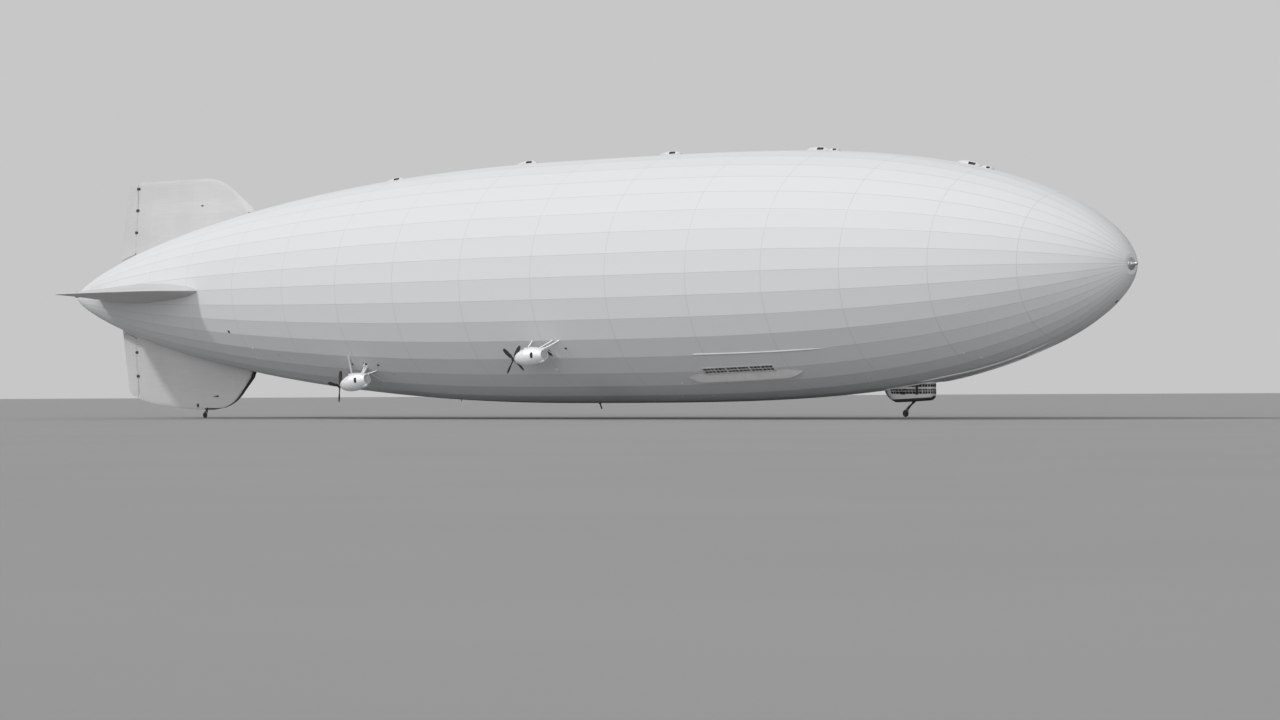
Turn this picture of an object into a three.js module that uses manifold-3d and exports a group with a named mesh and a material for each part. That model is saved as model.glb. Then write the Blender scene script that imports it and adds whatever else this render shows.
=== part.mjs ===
// Rigid airship, as a 1:10 model of a ship 245 m long.
//
// X runs from the tail to the nose, Y to port and Z up. The origin is on the hull's axis at the
// centre of buoyancy. The solids are in millimetres of the model. The sizes and tables below are in
// full-size metres unless they say otherwise, and m turns them into millimetres of the model.
// Stations are metres from the tip of the tail.

import * as THREE from 'three';
import { mergeVertices } from 'three/addons/utils/BufferGeometryUtils.js';
import Module from 'manifold-3d';

const wasm = await Module();
wasm.setup();

const m = 100;
const degree = Math.PI / 180;

// Clearances and thickness, in millimetres of the model
const seatGap = 0.3;
const runningGap = 5;
const shellThickness = 10;

// Hull
const shipLength = 245;
const originStation = 134;
const hullSides = 36;
const maxRadius = 20.55;
const fullestStation = 132.4;
const sternOverrun = 0.614;
const bowCurve = { power: 3.59, root: 1.62 };
const sternCurve = { power: 2.044, root: 1.321 };
const tailWellStation = 0.9;
const noseWellStation = 243.6;
const tailStations = [0, 0.9, 2.4, 5, 8.6, 13];
const ringStations = [20, 33.5, 47, 62, 77, 92, 107, 123.5, 140, 156.5, 173.5, 188.5, 203, 218];
const bowStations = [225, 231.5, 236.5, 240, 242.2, 243.6, 244.5];
const hullStations = [...tailStations, ...ringStations, ...bowStations];

// Where one hull section ends and the next begins
const hullJoints = [13, 33.5, 62, 77, 107, 123.5, 156.5, 203, 231.5, 242.2];

// Mooring spindle
const spindleBase = { station: 244.505, radius: 0.95, sides: 16 };
const spindleProfile = [[244.95, 0.5], [245.15, 0.28], [245.6, 0.22]];

// Fins: each section has its distance from the axis, its trailing and leading stations
// and half its thickness
const sideFinSections = [
  [4.0, 12.6, 50.9, 1.95],
  [7.5, 13.1, 50.9, 1.92],
  [11.0, 13.7, 50.9, 1.8],
  [14.6, 14.3, 50.8, 1.3],
  [18.0, 14.8, 47.8, 0.62],
  [18.9, 16.0, 46.9, 0.48],
  [20.2, 20.8, 45.0, 0.32],
  [21.2, 29.3, 42.2, 0.18],
  [21.6, 34.5, 39.0, 0.08],
];
const topFinSections = [
  [4.0, 12.1, 50.9, 1.95],
  [7.5, 12.6, 50.9, 1.92],
  [11.0, 13.3, 50.9, 1.8],
  [14.8, 14.0, 50.5, 1.28],
  [17.4, 14.5, 47.1, 0.72],
  [19.4, 14.9, 44.1, 0.45],
  [20.9, 15.2, 40.8, 0.26],
  [21.5, 18.6, 37.6, 0.12],
];

// Fin section from its trailing edge to its leading edge: share of the chord, share of the
// half thickness
const finSection = [
  [0, 0.03],
  [0.06, 0.24],
  [0.12, 0.42],
  [0.22, 0.65],
  [0.35, 0.86],
  [0.53, 1],
  [0.7, 0.95],
  [0.83, 0.8],
  [0.93, 0.55],
  [0.98, 0.3],
  [1, 0],
];
const hingeStation = 17.4;
const flapRoot = { height: 6.72, station: 12.5, rise: 0.24, aft: 9.5, beyond: 24 };
const flapNose = { from: 8.1, sides: 16, least: 0.05 };
const flapLip = 0.5;
const flapRootGap = 0.1;
const hingePin = { radius: 0.12, from: 7.3, to: 8.5, sides: 12 };

// The fins, with their turn about the hull's axis and the names of the two pieces
const fins = [
  { name: 'upper', moving: 'rudder', turn: 0, sections: topFinSections },
  { name: 'lower', moving: 'rudder', turn: 180, sections: sideFinSections },
  { name: 'starboard', moving: 'elevator', turn: 90, sections: sideFinSections },
  { name: 'port', moving: 'elevator', turn: -90, sections: sideFinSections },
];

// Engine cars: place of the propeller's hub, as station, distance out and height, then the car's
// nose-up pitch and the angle of the first blade from upright, outwards
const carRows = {
  forward: { place: [136.75, 21, -13.3], pitch: 6, bladeTurn: 52 },
  aft: { place: [88.3, 14.45, -17.45], pitch: 10, bladeTurn: 76 },
};
const carSides = [{ name: 'starboard', sign: -1 }, { name: 'port', sign: 1 }];

// Nacelle: distance ahead of the propeller and radius, outside from the tail, then inside
const nacelleSides = 16;
const nacelleOutside = [
  [0.42, 0.3],
  [0.9, 0.74],
  [1.8, 1.16],
  [3, 1.43],
  [4, 1.5],
  [5, 1.44],
  [6, 1.24],
  [6.6, 1.02],
  [6.95, 0.84],
];
const nacelleInside = [
  [6.95, 0.72],
  [6.6, 0.92],
  [6, 1.14],
  [5, 1.34],
  [4, 1.4],
  [3, 1.33],
  [1.8, 1.05],
  [1.15, 0.72],
];
const nacelleWindow = { along: 5.35, wide: 0.5, high: 0.95, rise: 0.1 };
const radiator = { along: 6.62, thick: 0.16 };
const engine = { along: 3.7, long: 2.6, wide: 0.9, high: 1.2 };
const engineBearer = { long: 0.5, wide: 0.8, deep: 1.5 };

// Propeller
const blades = 4;
const bladeTip = 2.95;
const hub = { radius: 0.27, tailRadius: 0.22, long: 0.6, cone: 0.25, sides: 10 };
const shaftRadius = 0.1;
const shaftBore = (shaftRadius * m + seatGap) / Math.cos(Math.PI / nacelleSides);
const shaftReach = 2.35;
// Blade: reach from the axis, half chord, half thickness, twist in degrees
const bladeStations = [
  [0.12, 0.2, 0.16, 48],
  [0.9, 0.3, 0.1, 38],
  [1.9, 0.34, 0.07, 24],
  [2.7, 0.22, 0.05, 17],
  [bladeTip, 0.08, 0.03, 15],
];

// Struts of each car: from the inboard spar out to the nacelle or in to the hull.
// Spar: two ends, as along, distance from the nacelle's axis and clock angle round it.
// Nacelle legs: along, clock angle, radius. Hull legs: along, station, angle below the
// horizontal, radius.
const barSides = 6;
const legEnd = 0.9;
const spar = { reach: 1.95, clock: 142, radius: 0.11 };
const struts = {
  forward: {
    sparAlong: [1.4, 5.7],
    nacelleLegs: [[1.4, 118, 0.11], [2.6, 150, 0.11], [3.9, 118, 0.09], [5.7, 118, 0.11]],
    hullLegs: [
      [1.4, 137.9, 30, 0.12],
      [1.4, 138.6, 40, 0.1],
      [3.9, 142.4, 30, 0.09],
      [5.7, 143.9, 30, 0.12],
      [5.7, 142.2, 40, 0.1],
    ],
  },
  aft: {
    sparAlong: [1.8, 6.2],
    nacelleLegs: [[1.8, 100, 0.13], [3, 150, 0.11], [4.4, 112, 0.11], [6.2, 130, 0.1]],
    hullLegs: [
      [1.8, 90.6, 40, 0.13],
      [1.8, 90.2, 60, 0.1],
      [4.4, 94.2, 43, 0.1],
      [5.2, 93.7, 46.5, 0.2],
      [6.2, 95.6, 49.7, 0.09],
      [6.2, 94.4, 60, 0.1],
    ],
  },
};

// Control car: side view behind and below, plan view with round ends
const carFloor = { rear: -20.42, front: -20.17 };
const carSpan = { rear: 197.9, front: 207.55 };
const carHalfWidth = 1.2;
const carNoseRound = 1.5;
const carTailRound = 2.2;
const carWall = 0.1;
const carTop = -16;
const carBase = -21;
const carFlat = { rear: 200.6, front: 206.25 };
const glassThick = 0.06;
const glassLap = 0.08;
const tailSweep = [[197.9, -18.2], [198.25, -19.1], [198.95, -19.85], [199.9, -20.3]];
const noseSweep = [[206.95, -20.07], [207.35, -19.8], [207.55, -19.35]];
const lowerPanes = { first: 200.2, pitch: 0.68, wide: 0.54, count: 9, from: -19.28, to: -18.45 };
const upperPanes = { first: 203.6, pitch: 0.68, wide: 0.54, count: 4, from: -18.2, to: -17.7 };
const nosePanes = { angles: [-54, -18, 18, 54], wide: 0.54, ahead: 0.3, deep: 2 };
const bumper = { proud: 0.1, high: 0.34 };

// Width of a cut that goes right through any of the cars
const cutWide = 4;

// Wheels: station, height of the axle, and the leg's head on the body above
const wheelRadius = 0.55;
const wheelWide = 0.34;
const wheelSides = 20;
const axleRadius = 0.08;
const axleSides = 12;
const wheelLegs = [
  { name: 'control_car', station: 201.8, axle: -22.3, head: [203.9, -20.1] },
  { name: 'tail', station: 36.4, axle: -22.6, head: [37.4, -21.2] },
];
const cheek = { gap: 0.06, thick: 0.06, wide: 0.2, lead: 0.35, above: 0.16 };
const legRadius = 0.15;

// Air hoods along the top, with half sizes, and the mouth cut in the aft end
const hoodStations = [88.4, 120.9, 153.7, 185.3, 215.4];
const hood = { long: 1.7, wide: 0.75, high: 0.8 };
const hoodMouth = { aft: 1.53, high: 0.4, rise: 0.3 };

// Promenade windows: the strip of the hull that they fill, in degrees below the horizontal
const promenade = { from: 171.4, to: 185.6, upper: 47.9, lower: 51.3, cutDeep: 2.4 };

const grey = { hull: 0xb9bbbd, light: 0xd8d9da, dark: 0x2a2b2d, glass: 0x11151a, mid: 0x77797c };
const finishes = {
  fabric: { color: grey.hull, roughness: 0.7, metalness: 0.1 },
  painted: { color: grey.light, roughness: 0.45, metalness: 0.1 },
  dark: { color: grey.dark, roughness: 0.6, metalness: 0.1 },
  glass: { color: grey.glass, roughness: 0.08, metalness: 0 },
  iron: { color: grey.mid, roughness: 0.5, metalness: 0.8 },
};

const airship = new THREE.Group();

function atStation(station) {
  return (station - originStation) * m;
}

// Hull radius in full-size metres
function hullRadius(station) {
  const ahead = station > fullestStation;
  const reach = ahead ? shipLength - fullestStation : fullestStation + sternOverrun;
  const curve = ahead ? bowCurve : sternCurve;
  const share = Math.abs(station - fullestStation) / reach;
  return maxRadius * (1 - share ** curve.power) ** (1 / curve.root);
}

// Radius of the faceted hull, which is straight from one station to the next
function facetedRadius(station) {
  const next = hullStations.findIndex((value) => value >= station);
  if (next <= 0) return hullRadius(station);
  const a = hullStations[next - 1];
  const b = hullStations[next];
  return THREE.MathUtils.mapLinear(station, a, b, hullRadius(a), hullRadius(b));
}

// Point on the hull's faceted skin, for an angle below the horizontal on one side
function hullPoint(station, angleBelow, sign) {
  const half = Math.PI / hullSides;
  const angle = angleBelow * degree;
  const fromMiddle = ((angle / half) % 2 + 2) % 2 - 1;
  const flat = Math.cos(half) / Math.cos(fromMiddle * half);
  const radius = facetedRadius(station) * m * flat;
  const y = sign * radius * Math.cos(angle);
  return new THREE.Vector3(atStation(station), y, -radius * Math.sin(angle));
}

// Solids
function toSolid(geometry) {
  const bare = geometry.clone();
  bare.deleteAttribute('normal');
  bare.deleteAttribute('uv');
  const merged = mergeVertices(bare, 1e-4);
  return new wasm.Manifold(new wasm.Mesh({
    numProp: 3,
    vertProperties: new Float32Array(merged.attributes.position.array),
    triVerts: new Uint32Array(merged.index.array),
  }));
}

function toGeometry(solid) {
  const mesh = solid.getMesh();
  const positions = new Float32Array(mesh.vertProperties);
  const geometry = new THREE.BufferGeometry();
  geometry.setAttribute('position', new THREE.BufferAttribute(positions, 3));
  geometry.setIndex(new THREE.BufferAttribute(new Uint32Array(mesh.triVerts), 1));
  geometry.computeVertexNormals();
  return geometry;
}

// A lathe about X: its profile is a list of [x, radius], outside first from low x to high x
function turned(profile, sides) {
  const points = profile.map(([x, radius]) => new THREE.Vector2(radius, x));
  return toSolid(new THREE.LatheGeometry(points, sides).rotateZ(-Math.PI / 2));
}

function box(long, wide, high, x, y, z) {
  return toSolid(new THREE.BoxGeometry(long, wide, high).translate(x, y, z));
}

// A bar between two points
function bar(from, to, radius) {
  const along = new THREE.Vector3().subVectors(to, from);
  const upright = new THREE.Vector3(0, 1, 0);
  const turn = new THREE.Quaternion().setFromUnitVectors(upright, along.clone().normalize());
  const middle = from.clone().lerp(to, 0.5);
  const place = new THREE.Matrix4().compose(middle, turn, new THREE.Vector3(1, 1, 1));
  const rod = new THREE.CylinderGeometry(radius, radius, along.length(), barSides);
  return toSolid(rod.applyMatrix4(place));
}

// A flat outline in X and Z, thickened along Y and centred on the plane y = 0
function sideProfile(points, wide) {
  const shape = new THREE.Shape(points.map(([x, z]) => new THREE.Vector2(x, z)));
  const geometry = new THREE.ExtrudeGeometry(shape, { depth: wide, bevelEnabled: false });
  return toSolid(geometry.rotateX(Math.PI / 2).translate(0, wide / 2, 0));
}

function addPiece(name, geometry, finish, parent = airship) {
  const mesh = new THREE.Mesh(geometry, new THREE.MeshStandardMaterial(finishes[finish]));
  mesh.name = name;
  parent.add(mesh);
  return mesh;
}

// Hull
function profileBetween(from, to, inset) {
  const inner = hullStations.filter((station) => station > from + 0.01 && station < to - 0.01);
  return [from, ...inner, to].map((station) => {
    const slope = (hullRadius(station + 0.05) - hullRadius(station - 0.05)) / 0.1;
    const radius = facetedRadius(station) * m - inset * Math.hypot(1, inset ? slope : 0);
    return [atStation(station), radius];
  });
}

function hullSection(from, to) {
  const gap = seatGap / 2 / m;
  const outside = profileBetween(from + gap, to - gap, 0);
  const inside = profileBetween(from + gap, to - gap, shellThickness).reverse();
  return turned([...outside, ...inside, outside[0]], hullSides);
}

// The whole outer form, grown a little, to seat other pieces on
function grownHull(extra) {
  const stations = hullStations.map((station) => {
    return [atStation(station), hullRadius(station) * m + extra];
  });
  const first = [atStation(0) - extra, 0];
  const last = [atStation(hullStations.at(-1)) + extra, 0];
  return turned([first, ...stations, last], hullSides);
}

const seatedHull = grownHull(seatGap);

function promenadeCut(sign, shrink) {
  const angle = (promenade.upper + promenade.lower) / 2 * degree;
  const middle = (promenade.from + promenade.to) / 2;
  const radius = facetedRadius(middle) * m;
  const long = (promenade.to - promenade.from) * m - 2 * shrink;
  const high = (promenade.lower - promenade.upper) * degree * radius - 2 * shrink;
  const geometry = new THREE.BoxGeometry(long, promenade.cutDeep * m, high).translate(0, radius, 0);
  geometry.rotateX(-angle);
  if (sign < 0) geometry.rotateX(2 * angle).rotateX(Math.PI);
  return toSolid(geometry.translate(atStation(middle), 0, 0));
}

function addTurned(name, profile) {
  addPiece(name, toGeometry(turned(profile, hullSides)), 'fabric');
}

function addHull() {
  const gap = seatGap / 2 / m;
  const tailEnd = hullJoints[0];
  const tailOutside = profileBetween(0, tailEnd - gap, 0);
  const tailInside = profileBetween(tailWellStation, tailEnd - gap, shellThickness).reverse();
  const tailTip = [atStation(0), 0];
  const tailWell = [atStation(tailWellStation), 0];
  addTurned('tail_cone', [tailTip, ...tailOutside, ...tailInside, tailWell]);

  hullJoints.slice(0, -1).forEach((from, index) => {
    const to = hullJoints[index + 1];
    let section = hullSection(from, to);
    if (from < promenade.from && to > promenade.to) {
      for (const side of carSides) {
        const panel = section.intersect(promenadeCut(side.sign, seatGap));
        section = section.subtract(promenadeCut(side.sign, 0));
        addPiece(`promenade_windows_${side.name}`, toGeometry(panel), 'glass');
      }
    }
    addPiece(`hull_section_${index + 1}`, toGeometry(section), 'fabric');
  });

  const bowStart = hullJoints.at(-1);
  const bowEnd = hullStations.at(-1);
  const bowOutside = profileBetween(bowStart + gap, bowEnd, 0);
  const bowInside = profileBetween(bowStart + gap, noseWellStation, shellThickness).reverse();
  const bowFace = [atStation(bowEnd), 0];
  const bowWell = [atStation(noseWellStation), 0];
  addTurned('nose_cap', [bowWell, ...bowInside, ...bowOutside, bowFace]);
}

function addSpindle() {
  const { station, radius } = spindleBase;
  const face = [spindleProfile.at(-1)[0], 0];
  const profile = [[station, 0], [station, radius], ...spindleProfile, face];
  const points = profile.map(([at, wide]) => [atStation(at), wide * m]);
  addPiece('mooring_spindle', toGeometry(turned(points, spindleBase.sides)), 'iron');
}

// Fins stand up along Z in their own frame and are turned about the hull's axis
function finHalfThickness(sections, station, height) {
  const next = Math.max(1, sections.findIndex(([value]) => value >= height));
  const a = sections[next - 1];
  const b = sections[next];
  const share = (height - a[0]) / (b[0] - a[0]);
  const here = a.map((value, index) => value + share * (b[index] - value));
  const [, trailing, leading, half] = here;
  const chordShare = (station - trailing) / (leading - trailing);
  const after = Math.max(1, finSection.findIndex(([value]) => value >= chordShare));
  const [c0, t0] = finSection[after - 1];
  const [c1, t1] = finSection[after];
  return half * THREE.MathUtils.mapLinear(chordShare, c0, c1, t0, t1);
}

function finBody(sections) {
  const positions = [];
  const index = [];
  const side = finSection.length;
  const ring = 2 * side - 1;
  sections.forEach(([height, trailing, leading, half]) => {
    const outline = finSection.map(([chord, thick]) => {
      return [trailing + chord * (leading - trailing), thick * half];
    });
    const back = outline.slice(0, -1).reverse().map(([station, thick]) => [station, -thick]);
    [...outline, ...back].forEach(([station, thick]) => {
      positions.push(atStation(station), thick * m, height * m);
    });
  });
  for (let row = 0; row < sections.length - 1; row += 1) {
    for (let column = 0; column < ring; column += 1) {
      const a = row * ring + column;
      const b = row * ring + (column + 1) % ring;
      index.push(a, a + ring, b, b, a + ring, b + ring);
    }
  }
  const top = (sections.length - 1) * ring;
  for (let column = 1; column < ring - 1; column += 1) {
    index.push(0, column, column + 1);
    index.push(top, top + column + 1, top + column);
  }
  const geometry = new THREE.BufferGeometry();
  geometry.setAttribute('position', new THREE.Float32BufferAttribute(positions, 3));
  geometry.setIndex(index);
  return toSolid(geometry);
}

// Round nose of a flap, a cone about the hinge that matches the fin's thickness there
function flapNoseSolid(sections, extra, from) {
  const tip = sections.at(-1)[0];
  const above = sections.map(([height]) => height).filter((height) => height > from);
  const points = [from, ...above, tip + flapNose.least * 6].map((height) => {
    const half = finHalfThickness(sections, hingeStation, Math.min(height, tip - 0.01));
    return new THREE.Vector2(Math.max(half, flapNose.least) * m + extra, height * m);
  });
  const foot = new THREE.Vector2(0, points[0].y);
  const head = new THREE.Vector2(0, points.at(-1).y);
  const cone = new THREE.LatheGeometry([foot, ...points, head], flapNose.sides);
  return toSolid(cone.rotateX(Math.PI / 2).translate(atStation(hingeStation), 0, 0));
}

// All that lies behind a station and beyond the slanted root of the flap
function flapRegion(forward, drop) {
  const { height, station, rise, aft, beyond } = flapRoot;
  const low = (at) => height + (at - station) * rise - drop;
  const outline = [[aft, low(aft)], [forward, low(forward)], [forward, beyond], [aft, beyond]];
  return sideProfile(outline.map(([at, z]) => [atStation(at), z * m]), cutWide * m);
}

function hingeCylinder(radius, extraLong) {
  const { from, to, sides } = hingePin;
  const long = (to - from) * m + extraLong;
  const cylinder = new THREE.CylinderGeometry(radius, radius, long, sides).rotateX(Math.PI / 2);
  return toSolid(cylinder.translate(atStation(hingeStation), 0, (from + to) / 2 * m));
}

function addFin({ name, moving, turn, sections }) {
  const whole = finBody(sections);
  const clear = runningGap / m;
  const group = new THREE.Group();
  group.rotation.x = turn * degree;
  airship.add(group);

  const pinRadius = hingePin.radius * m;
  const boreRadius = (pinRadius + seatGap) / Math.cos(Math.PI / hingePin.sides);
  const pin = hingeCylinder(pinRadius, 0);
  const bore = hingeCylinder(boreRadius, 2 * seatGap);

  const noseWide = cutWide / 2;
  const noseHigh = flapRoot.beyond;
  const noseMiddle = atStation(hingeStation + noseWide / 2);
  const ahead = box(noseWide * m, cutWide * m, noseHigh * m, noseMiddle, 0, noseHigh / 2 * m);
  const nose = flapNoseSolid(sections, 0, flapNose.from).intersect(ahead).intersect(whole);
  const flap = whole.intersect(flapRegion(hingeStation, 0)).add(nose).subtract(bore);
  addPiece(`${moving}_${name}`, toGeometry(flap), 'fabric', group);

  const fixed = whole
    .subtract(flapRegion(hingeStation + flapLip, flapRootGap))
    .subtract(flapNoseSolid(sections, runningGap, flapNose.from - clear))
    .add(pin)
    .subtract(seatedHull);
  addPiece(`fin_${name}`, toGeometry(fixed), 'fabric', group);
}

// Engine cars
function nacelleSolid(extra) {
  const outside = nacelleOutside.map(([along, radius]) => [along * m, radius * m + extra]);
  const first = [outside[0][0] - extra, 0];
  const last = [outside.at(-1)[0] + extra, 0];
  outside[0][0] -= extra;
  outside.at(-1)[0] += extra;
  return turned([first, ...outside, last], nacelleSides);
}

function nacelleCavity(shrink) {
  const inside = nacelleInside.map(([along, radius]) => [along * m, radius * m - shrink]).reverse();
  return turned([[inside[0][0], 0], ...inside, [inside.at(-1)[0], 0]], nacelleSides);
}

function nacelleShell() {
  const bore = shaftBore / m;
  const rearWall = [[nacelleInside.at(-1)[0], bore], [nacelleOutside[0][0], bore]];
  const profile = [...nacelleOutside, ...nacelleInside, ...rearWall, nacelleOutside[0]];
  const shell = turned(profile.map(([along, radius]) => [along * m, radius * m]), nacelleSides);
  const { along, wide, high, rise } = nacelleWindow;
  return shell.subtract(box(wide * m, cutWide * m, high * m, along * m, 0, rise * m));
}

function engineBlock() {
  const { along, long, wide, high } = engine;
  const block = box(long * m, wide * m, high * m, along * m, 0, 0);
  const { long: footLong, wide: footWide, deep } = engineBearer;
  const bearer = box(footLong * m, footWide * m, deep * m, along * m, 0, -deep / 2 * m);
  return block.add(bearer).intersect(nacelleCavity(seatGap));
}

function radiatorCore() {
  const core = box(radiator.thick * m, cutWide * m, cutWide * m, radiator.along * m, 0, 0);
  return core.intersect(nacelleCavity(seatGap));
}

function bladeBody() {
  const positions = [];
  const index = [];
  bladeStations.forEach(([reach, halfChord, halfThick, twist]) => {
    const angle = twist * degree;
    [[1, 0], [0.2, 1], [-1, 0], [0.2, -1]].forEach(([chord, thick]) => {
      const c = chord * halfChord * m;
      const t = thick * halfThick * m;
      const x = c * Math.sin(angle) + t * Math.cos(angle);
      const y = c * Math.cos(angle) - t * Math.sin(angle);
      positions.push(x, y, reach * m);
    });
  });
  for (let row = 0; row < bladeStations.length - 1; row += 1) {
    for (let column = 0; column < 4; column += 1) {
      const a = row * 4 + column;
      const b = row * 4 + (column + 1) % 4;
      index.push(a, a + 4, b, b, a + 4, b + 4);
    }
  }
  const top = (bladeStations.length - 1) * 4;
  index.push(0, 1, 2, 0, 2, 3, top, top + 2, top + 1, top, top + 3, top + 2);
  const geometry = new THREE.BufferGeometry();
  geometry.setAttribute('position', new THREE.Float32BufferAttribute(positions, 3));
  geometry.setIndex(index);
  return geometry;
}

function propellerSolid(turn) {
  const half = hub.long / 2;
  const profile = [
    [-half - hub.cone, 0],
    [-half, hub.tailRadius],
    [half, hub.radius],
    [half, shaftRadius],
    [shaftReach, shaftRadius],
    [shaftReach, 0],
  ];
  let solid = turned(profile.map(([x, r]) => [x * m, r * m]), hub.sides);
  for (let blade = 0; blade < blades; blade += 1) {
    const angle = (turn + blade * 360 / blades) * degree;
    solid = solid.add(toSolid(bladeBody().rotateX(angle)));
  }
  return solid;
}

function addEngineCar(row, side) {
  const { place: [station, out, height], pitch, bladeTurn } = carRows[row];
  const group = new THREE.Group();
  group.position.set(atStation(station), side.sign * out * m, height * m);
  group.rotation.y = -pitch * degree;
  airship.add(group);
  group.updateMatrixWorld(true);

  const label = `${row}_${side.name}`;
  addPiece(`nacelle_${label}`, toGeometry(nacelleShell()), 'painted', group);
  addPiece(`engine_${label}`, toGeometry(engineBlock()), 'iron', group);
  addPiece(`radiator_${label}`, toGeometry(radiatorCore()), 'dark', group);
  addPiece(`propeller_${label}`, toGeometry(propellerSolid(-side.sign * bladeTurn)), 'dark', group);

  const nearCar = (along, reach, clock) => {
    const angle = clock * degree;
    const across = side.sign * reach * Math.cos(angle);
    const local = new THREE.Vector3(along, across, reach * Math.sin(angle));
    return local.multiplyScalar(m).applyMatrix4(group.matrixWorld);
  };
  const { sparAlong, nacelleLegs, hullLegs } = struts[row];
  const onSpar = (along) => nearCar(along, spar.reach, spar.clock);
  let frame = bar(onSpar(sparAlong[0]), onSpar(sparAlong[1]), spar.radius * m);
  nacelleLegs.forEach(([along, clock, radius]) => {
    frame = frame.add(bar(onSpar(along), nearCar(along, legEnd, clock), radius * m));
  });
  hullLegs.forEach(([along, foot, angle, radius]) => {
    frame = frame.add(bar(onSpar(along), hullPoint(foot, angle, side.sign), radius * m));
  });
  const nacelle = nacelleSolid(seatGap).transform(group.matrixWorld.elements);
  frame = frame.subtract(nacelle).subtract(seatedHull);
  addPiece(`struts_${label}`, toGeometry(frame), 'painted');
}

// Control car
function carPlan(inset) {
  const shape = new THREE.Shape();
  const half = (carHalfWidth - inset) * m;
  const rear = atStation(carSpan.rear + inset);
  const front = atStation(carSpan.front - inset);
  const noseCentre = atStation(carSpan.front - carNoseRound);
  const tailCentre = atStation(carSpan.rear + carTailRound);
  shape.moveTo(tailCentre, -half);
  shape.lineTo(noseCentre, -half);
  shape.absellipse(noseCentre, 0, front - noseCentre, half, -Math.PI / 2, Math.PI / 2);
  shape.lineTo(tailCentre, half);
  shape.absellipse(tailCentre, 0, tailCentre - rear, half, Math.PI / 2, Math.PI * 1.5);
  return shape;
}

function planSolid(inset, from, to) {
  const geometry = new THREE.ExtrudeGeometry(carPlan(inset), {
    depth: (to - from) * m,
    bevelEnabled: false,
    curveSegments: 4,
  });
  return toSolid(geometry.translate(0, 0, from * m));
}

function carSide(inset) {
  const points = [
    [tailSweep[0][0] + inset, carTop],
    ...tailSweep.map(([station, z]) => [station + inset, z + inset]),
    [carFlat.rear, carFloor.rear + inset],
    [carFlat.front, carFloor.front + inset],
    ...noseSweep.map(([station, z]) => [station - inset, z + inset]),
    [carSpan.front - inset, carTop],
  ];
  const outline = points.map(([station, z]) => [atStation(station), z * m]);
  return sideProfile(outline.reverse(), cutWide * m);
}

function carForm(inset) {
  return planSolid(inset, carBase, carTop).intersect(carSide(inset));
}

function paneCuts({ first, pitch, wide, count, from, to }) {
  const high = (to - from) * m;
  const middle = (from + to) / 2 * m;
  const cuts = [];
  for (let pane = 0; pane < count; pane += 1) {
    const x = atStation(first + pane * pitch);
    cuts.push(box(wide * m, cutWide * m, high, x, 0, middle));
  }
  return cuts;
}

function noseCuts({ from, to }) {
  const { angles, wide, ahead, deep } = nosePanes;
  const centre = atStation(carSpan.front - carNoseRound + ahead);
  return angles.map((angle) => {
    const geometry = new THREE.BoxGeometry(deep * m, wide * m, (to - from) * m);
    geometry.translate(deep / 2 * m, 0, 0).rotateZ(angle * degree);
    return toSolid(geometry.translate(centre, 0, (from + to) / 2 * m));
  });
}

function addControlCar() {
  const underHull = grownHull(seatGap + carWall * m);
  const room = carForm(carWall).subtract(underHull);
  let shell = carForm(0).subtract(room).subtract(seatedHull);
  for (const panes of [lowerPanes, upperPanes]) {
    for (const cut of [...paneCuts(panes), ...noseCuts(panes)]) {
      shell = shell.subtract(cut);
    }
  }
  addPiece('control_car', toGeometry(shell), 'painted');

  const glassInset = carWall + seatGap / m;
  const band = planSolid(glassInset, lowerPanes.from - glassLap, upperPanes.to + glassLap)
    .subtract(planSolid(glassInset + glassThick, carBase, carTop))
    .intersect(carSide(glassInset))
    .subtract(grownHull(2 * seatGap + carWall * m));
  addPiece('control_car_glazing', toGeometry(band), 'glass');
}

function addBumper() {
  const outer = planSolid(-bumper.proud, carBase, carFloor.rear + bumper.high);
  const pad = outer.intersect(carSide(-bumper.proud)).subtract(carForm(-seatGap / m));
  addPiece('control_car_bumper', toGeometry(pad), 'dark');
}

// Wheels
function addWheel({ name, station, axle, head }, carrier) {
  const x = atStation(station);
  const z = axle * m;
  const drum = (radius, wide, sides) => {
    return toSolid(new THREE.CylinderGeometry(radius, radius, wide, sides).translate(x, 0, z));
  };
  const tread = drum(wheelRadius * m, wheelWide * m, wheelSides);
  const boreRadius = (axleRadius * m + seatGap) / Math.cos(Math.PI / axleSides);
  const bore = drum(boreRadius, 2 * wheelWide * m, axleSides);
  addPiece(`${name}_wheel`, toGeometry(tread.subtract(bore)), 'dark');

  const apart = (wheelWide / 2 + cheek.gap + cheek.thick) * m;
  const crownX = x + cheek.lead * m;
  const crownZ = z + (wheelRadius + cheek.above) * m;
  const half = cheek.wide / 2 * m;
  const outline = [
    [x - half, z - half],
    [x + half, z - half],
    [crownX + half, crownZ],
    [crownX - half, crownZ],
  ];
  const thick = cheek.thick * m;
  let leg = drum(axleRadius * m, 2 * apart, axleSides);
  for (const sign of [-1, 1]) {
    const plate = sideProfile(outline, thick);
    leg = leg.add(plate.translate([0, sign * (apart - thick / 2), 0]));
  }
  leg = leg.add(box(cheek.wide * m, 2 * apart, thick, crownX, 0, crownZ - thick / 2));
  const crown = new THREE.Vector3(crownX, 0, crownZ - thick / 2);
  const top = new THREE.Vector3(atStation(head[0]), 0, head[1] * m);
  leg = leg.add(bar(crown, top, legRadius * m)).subtract(carrier);
  addPiece(`${name}_wheel_leg`, toGeometry(leg), 'dark');
}

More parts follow.
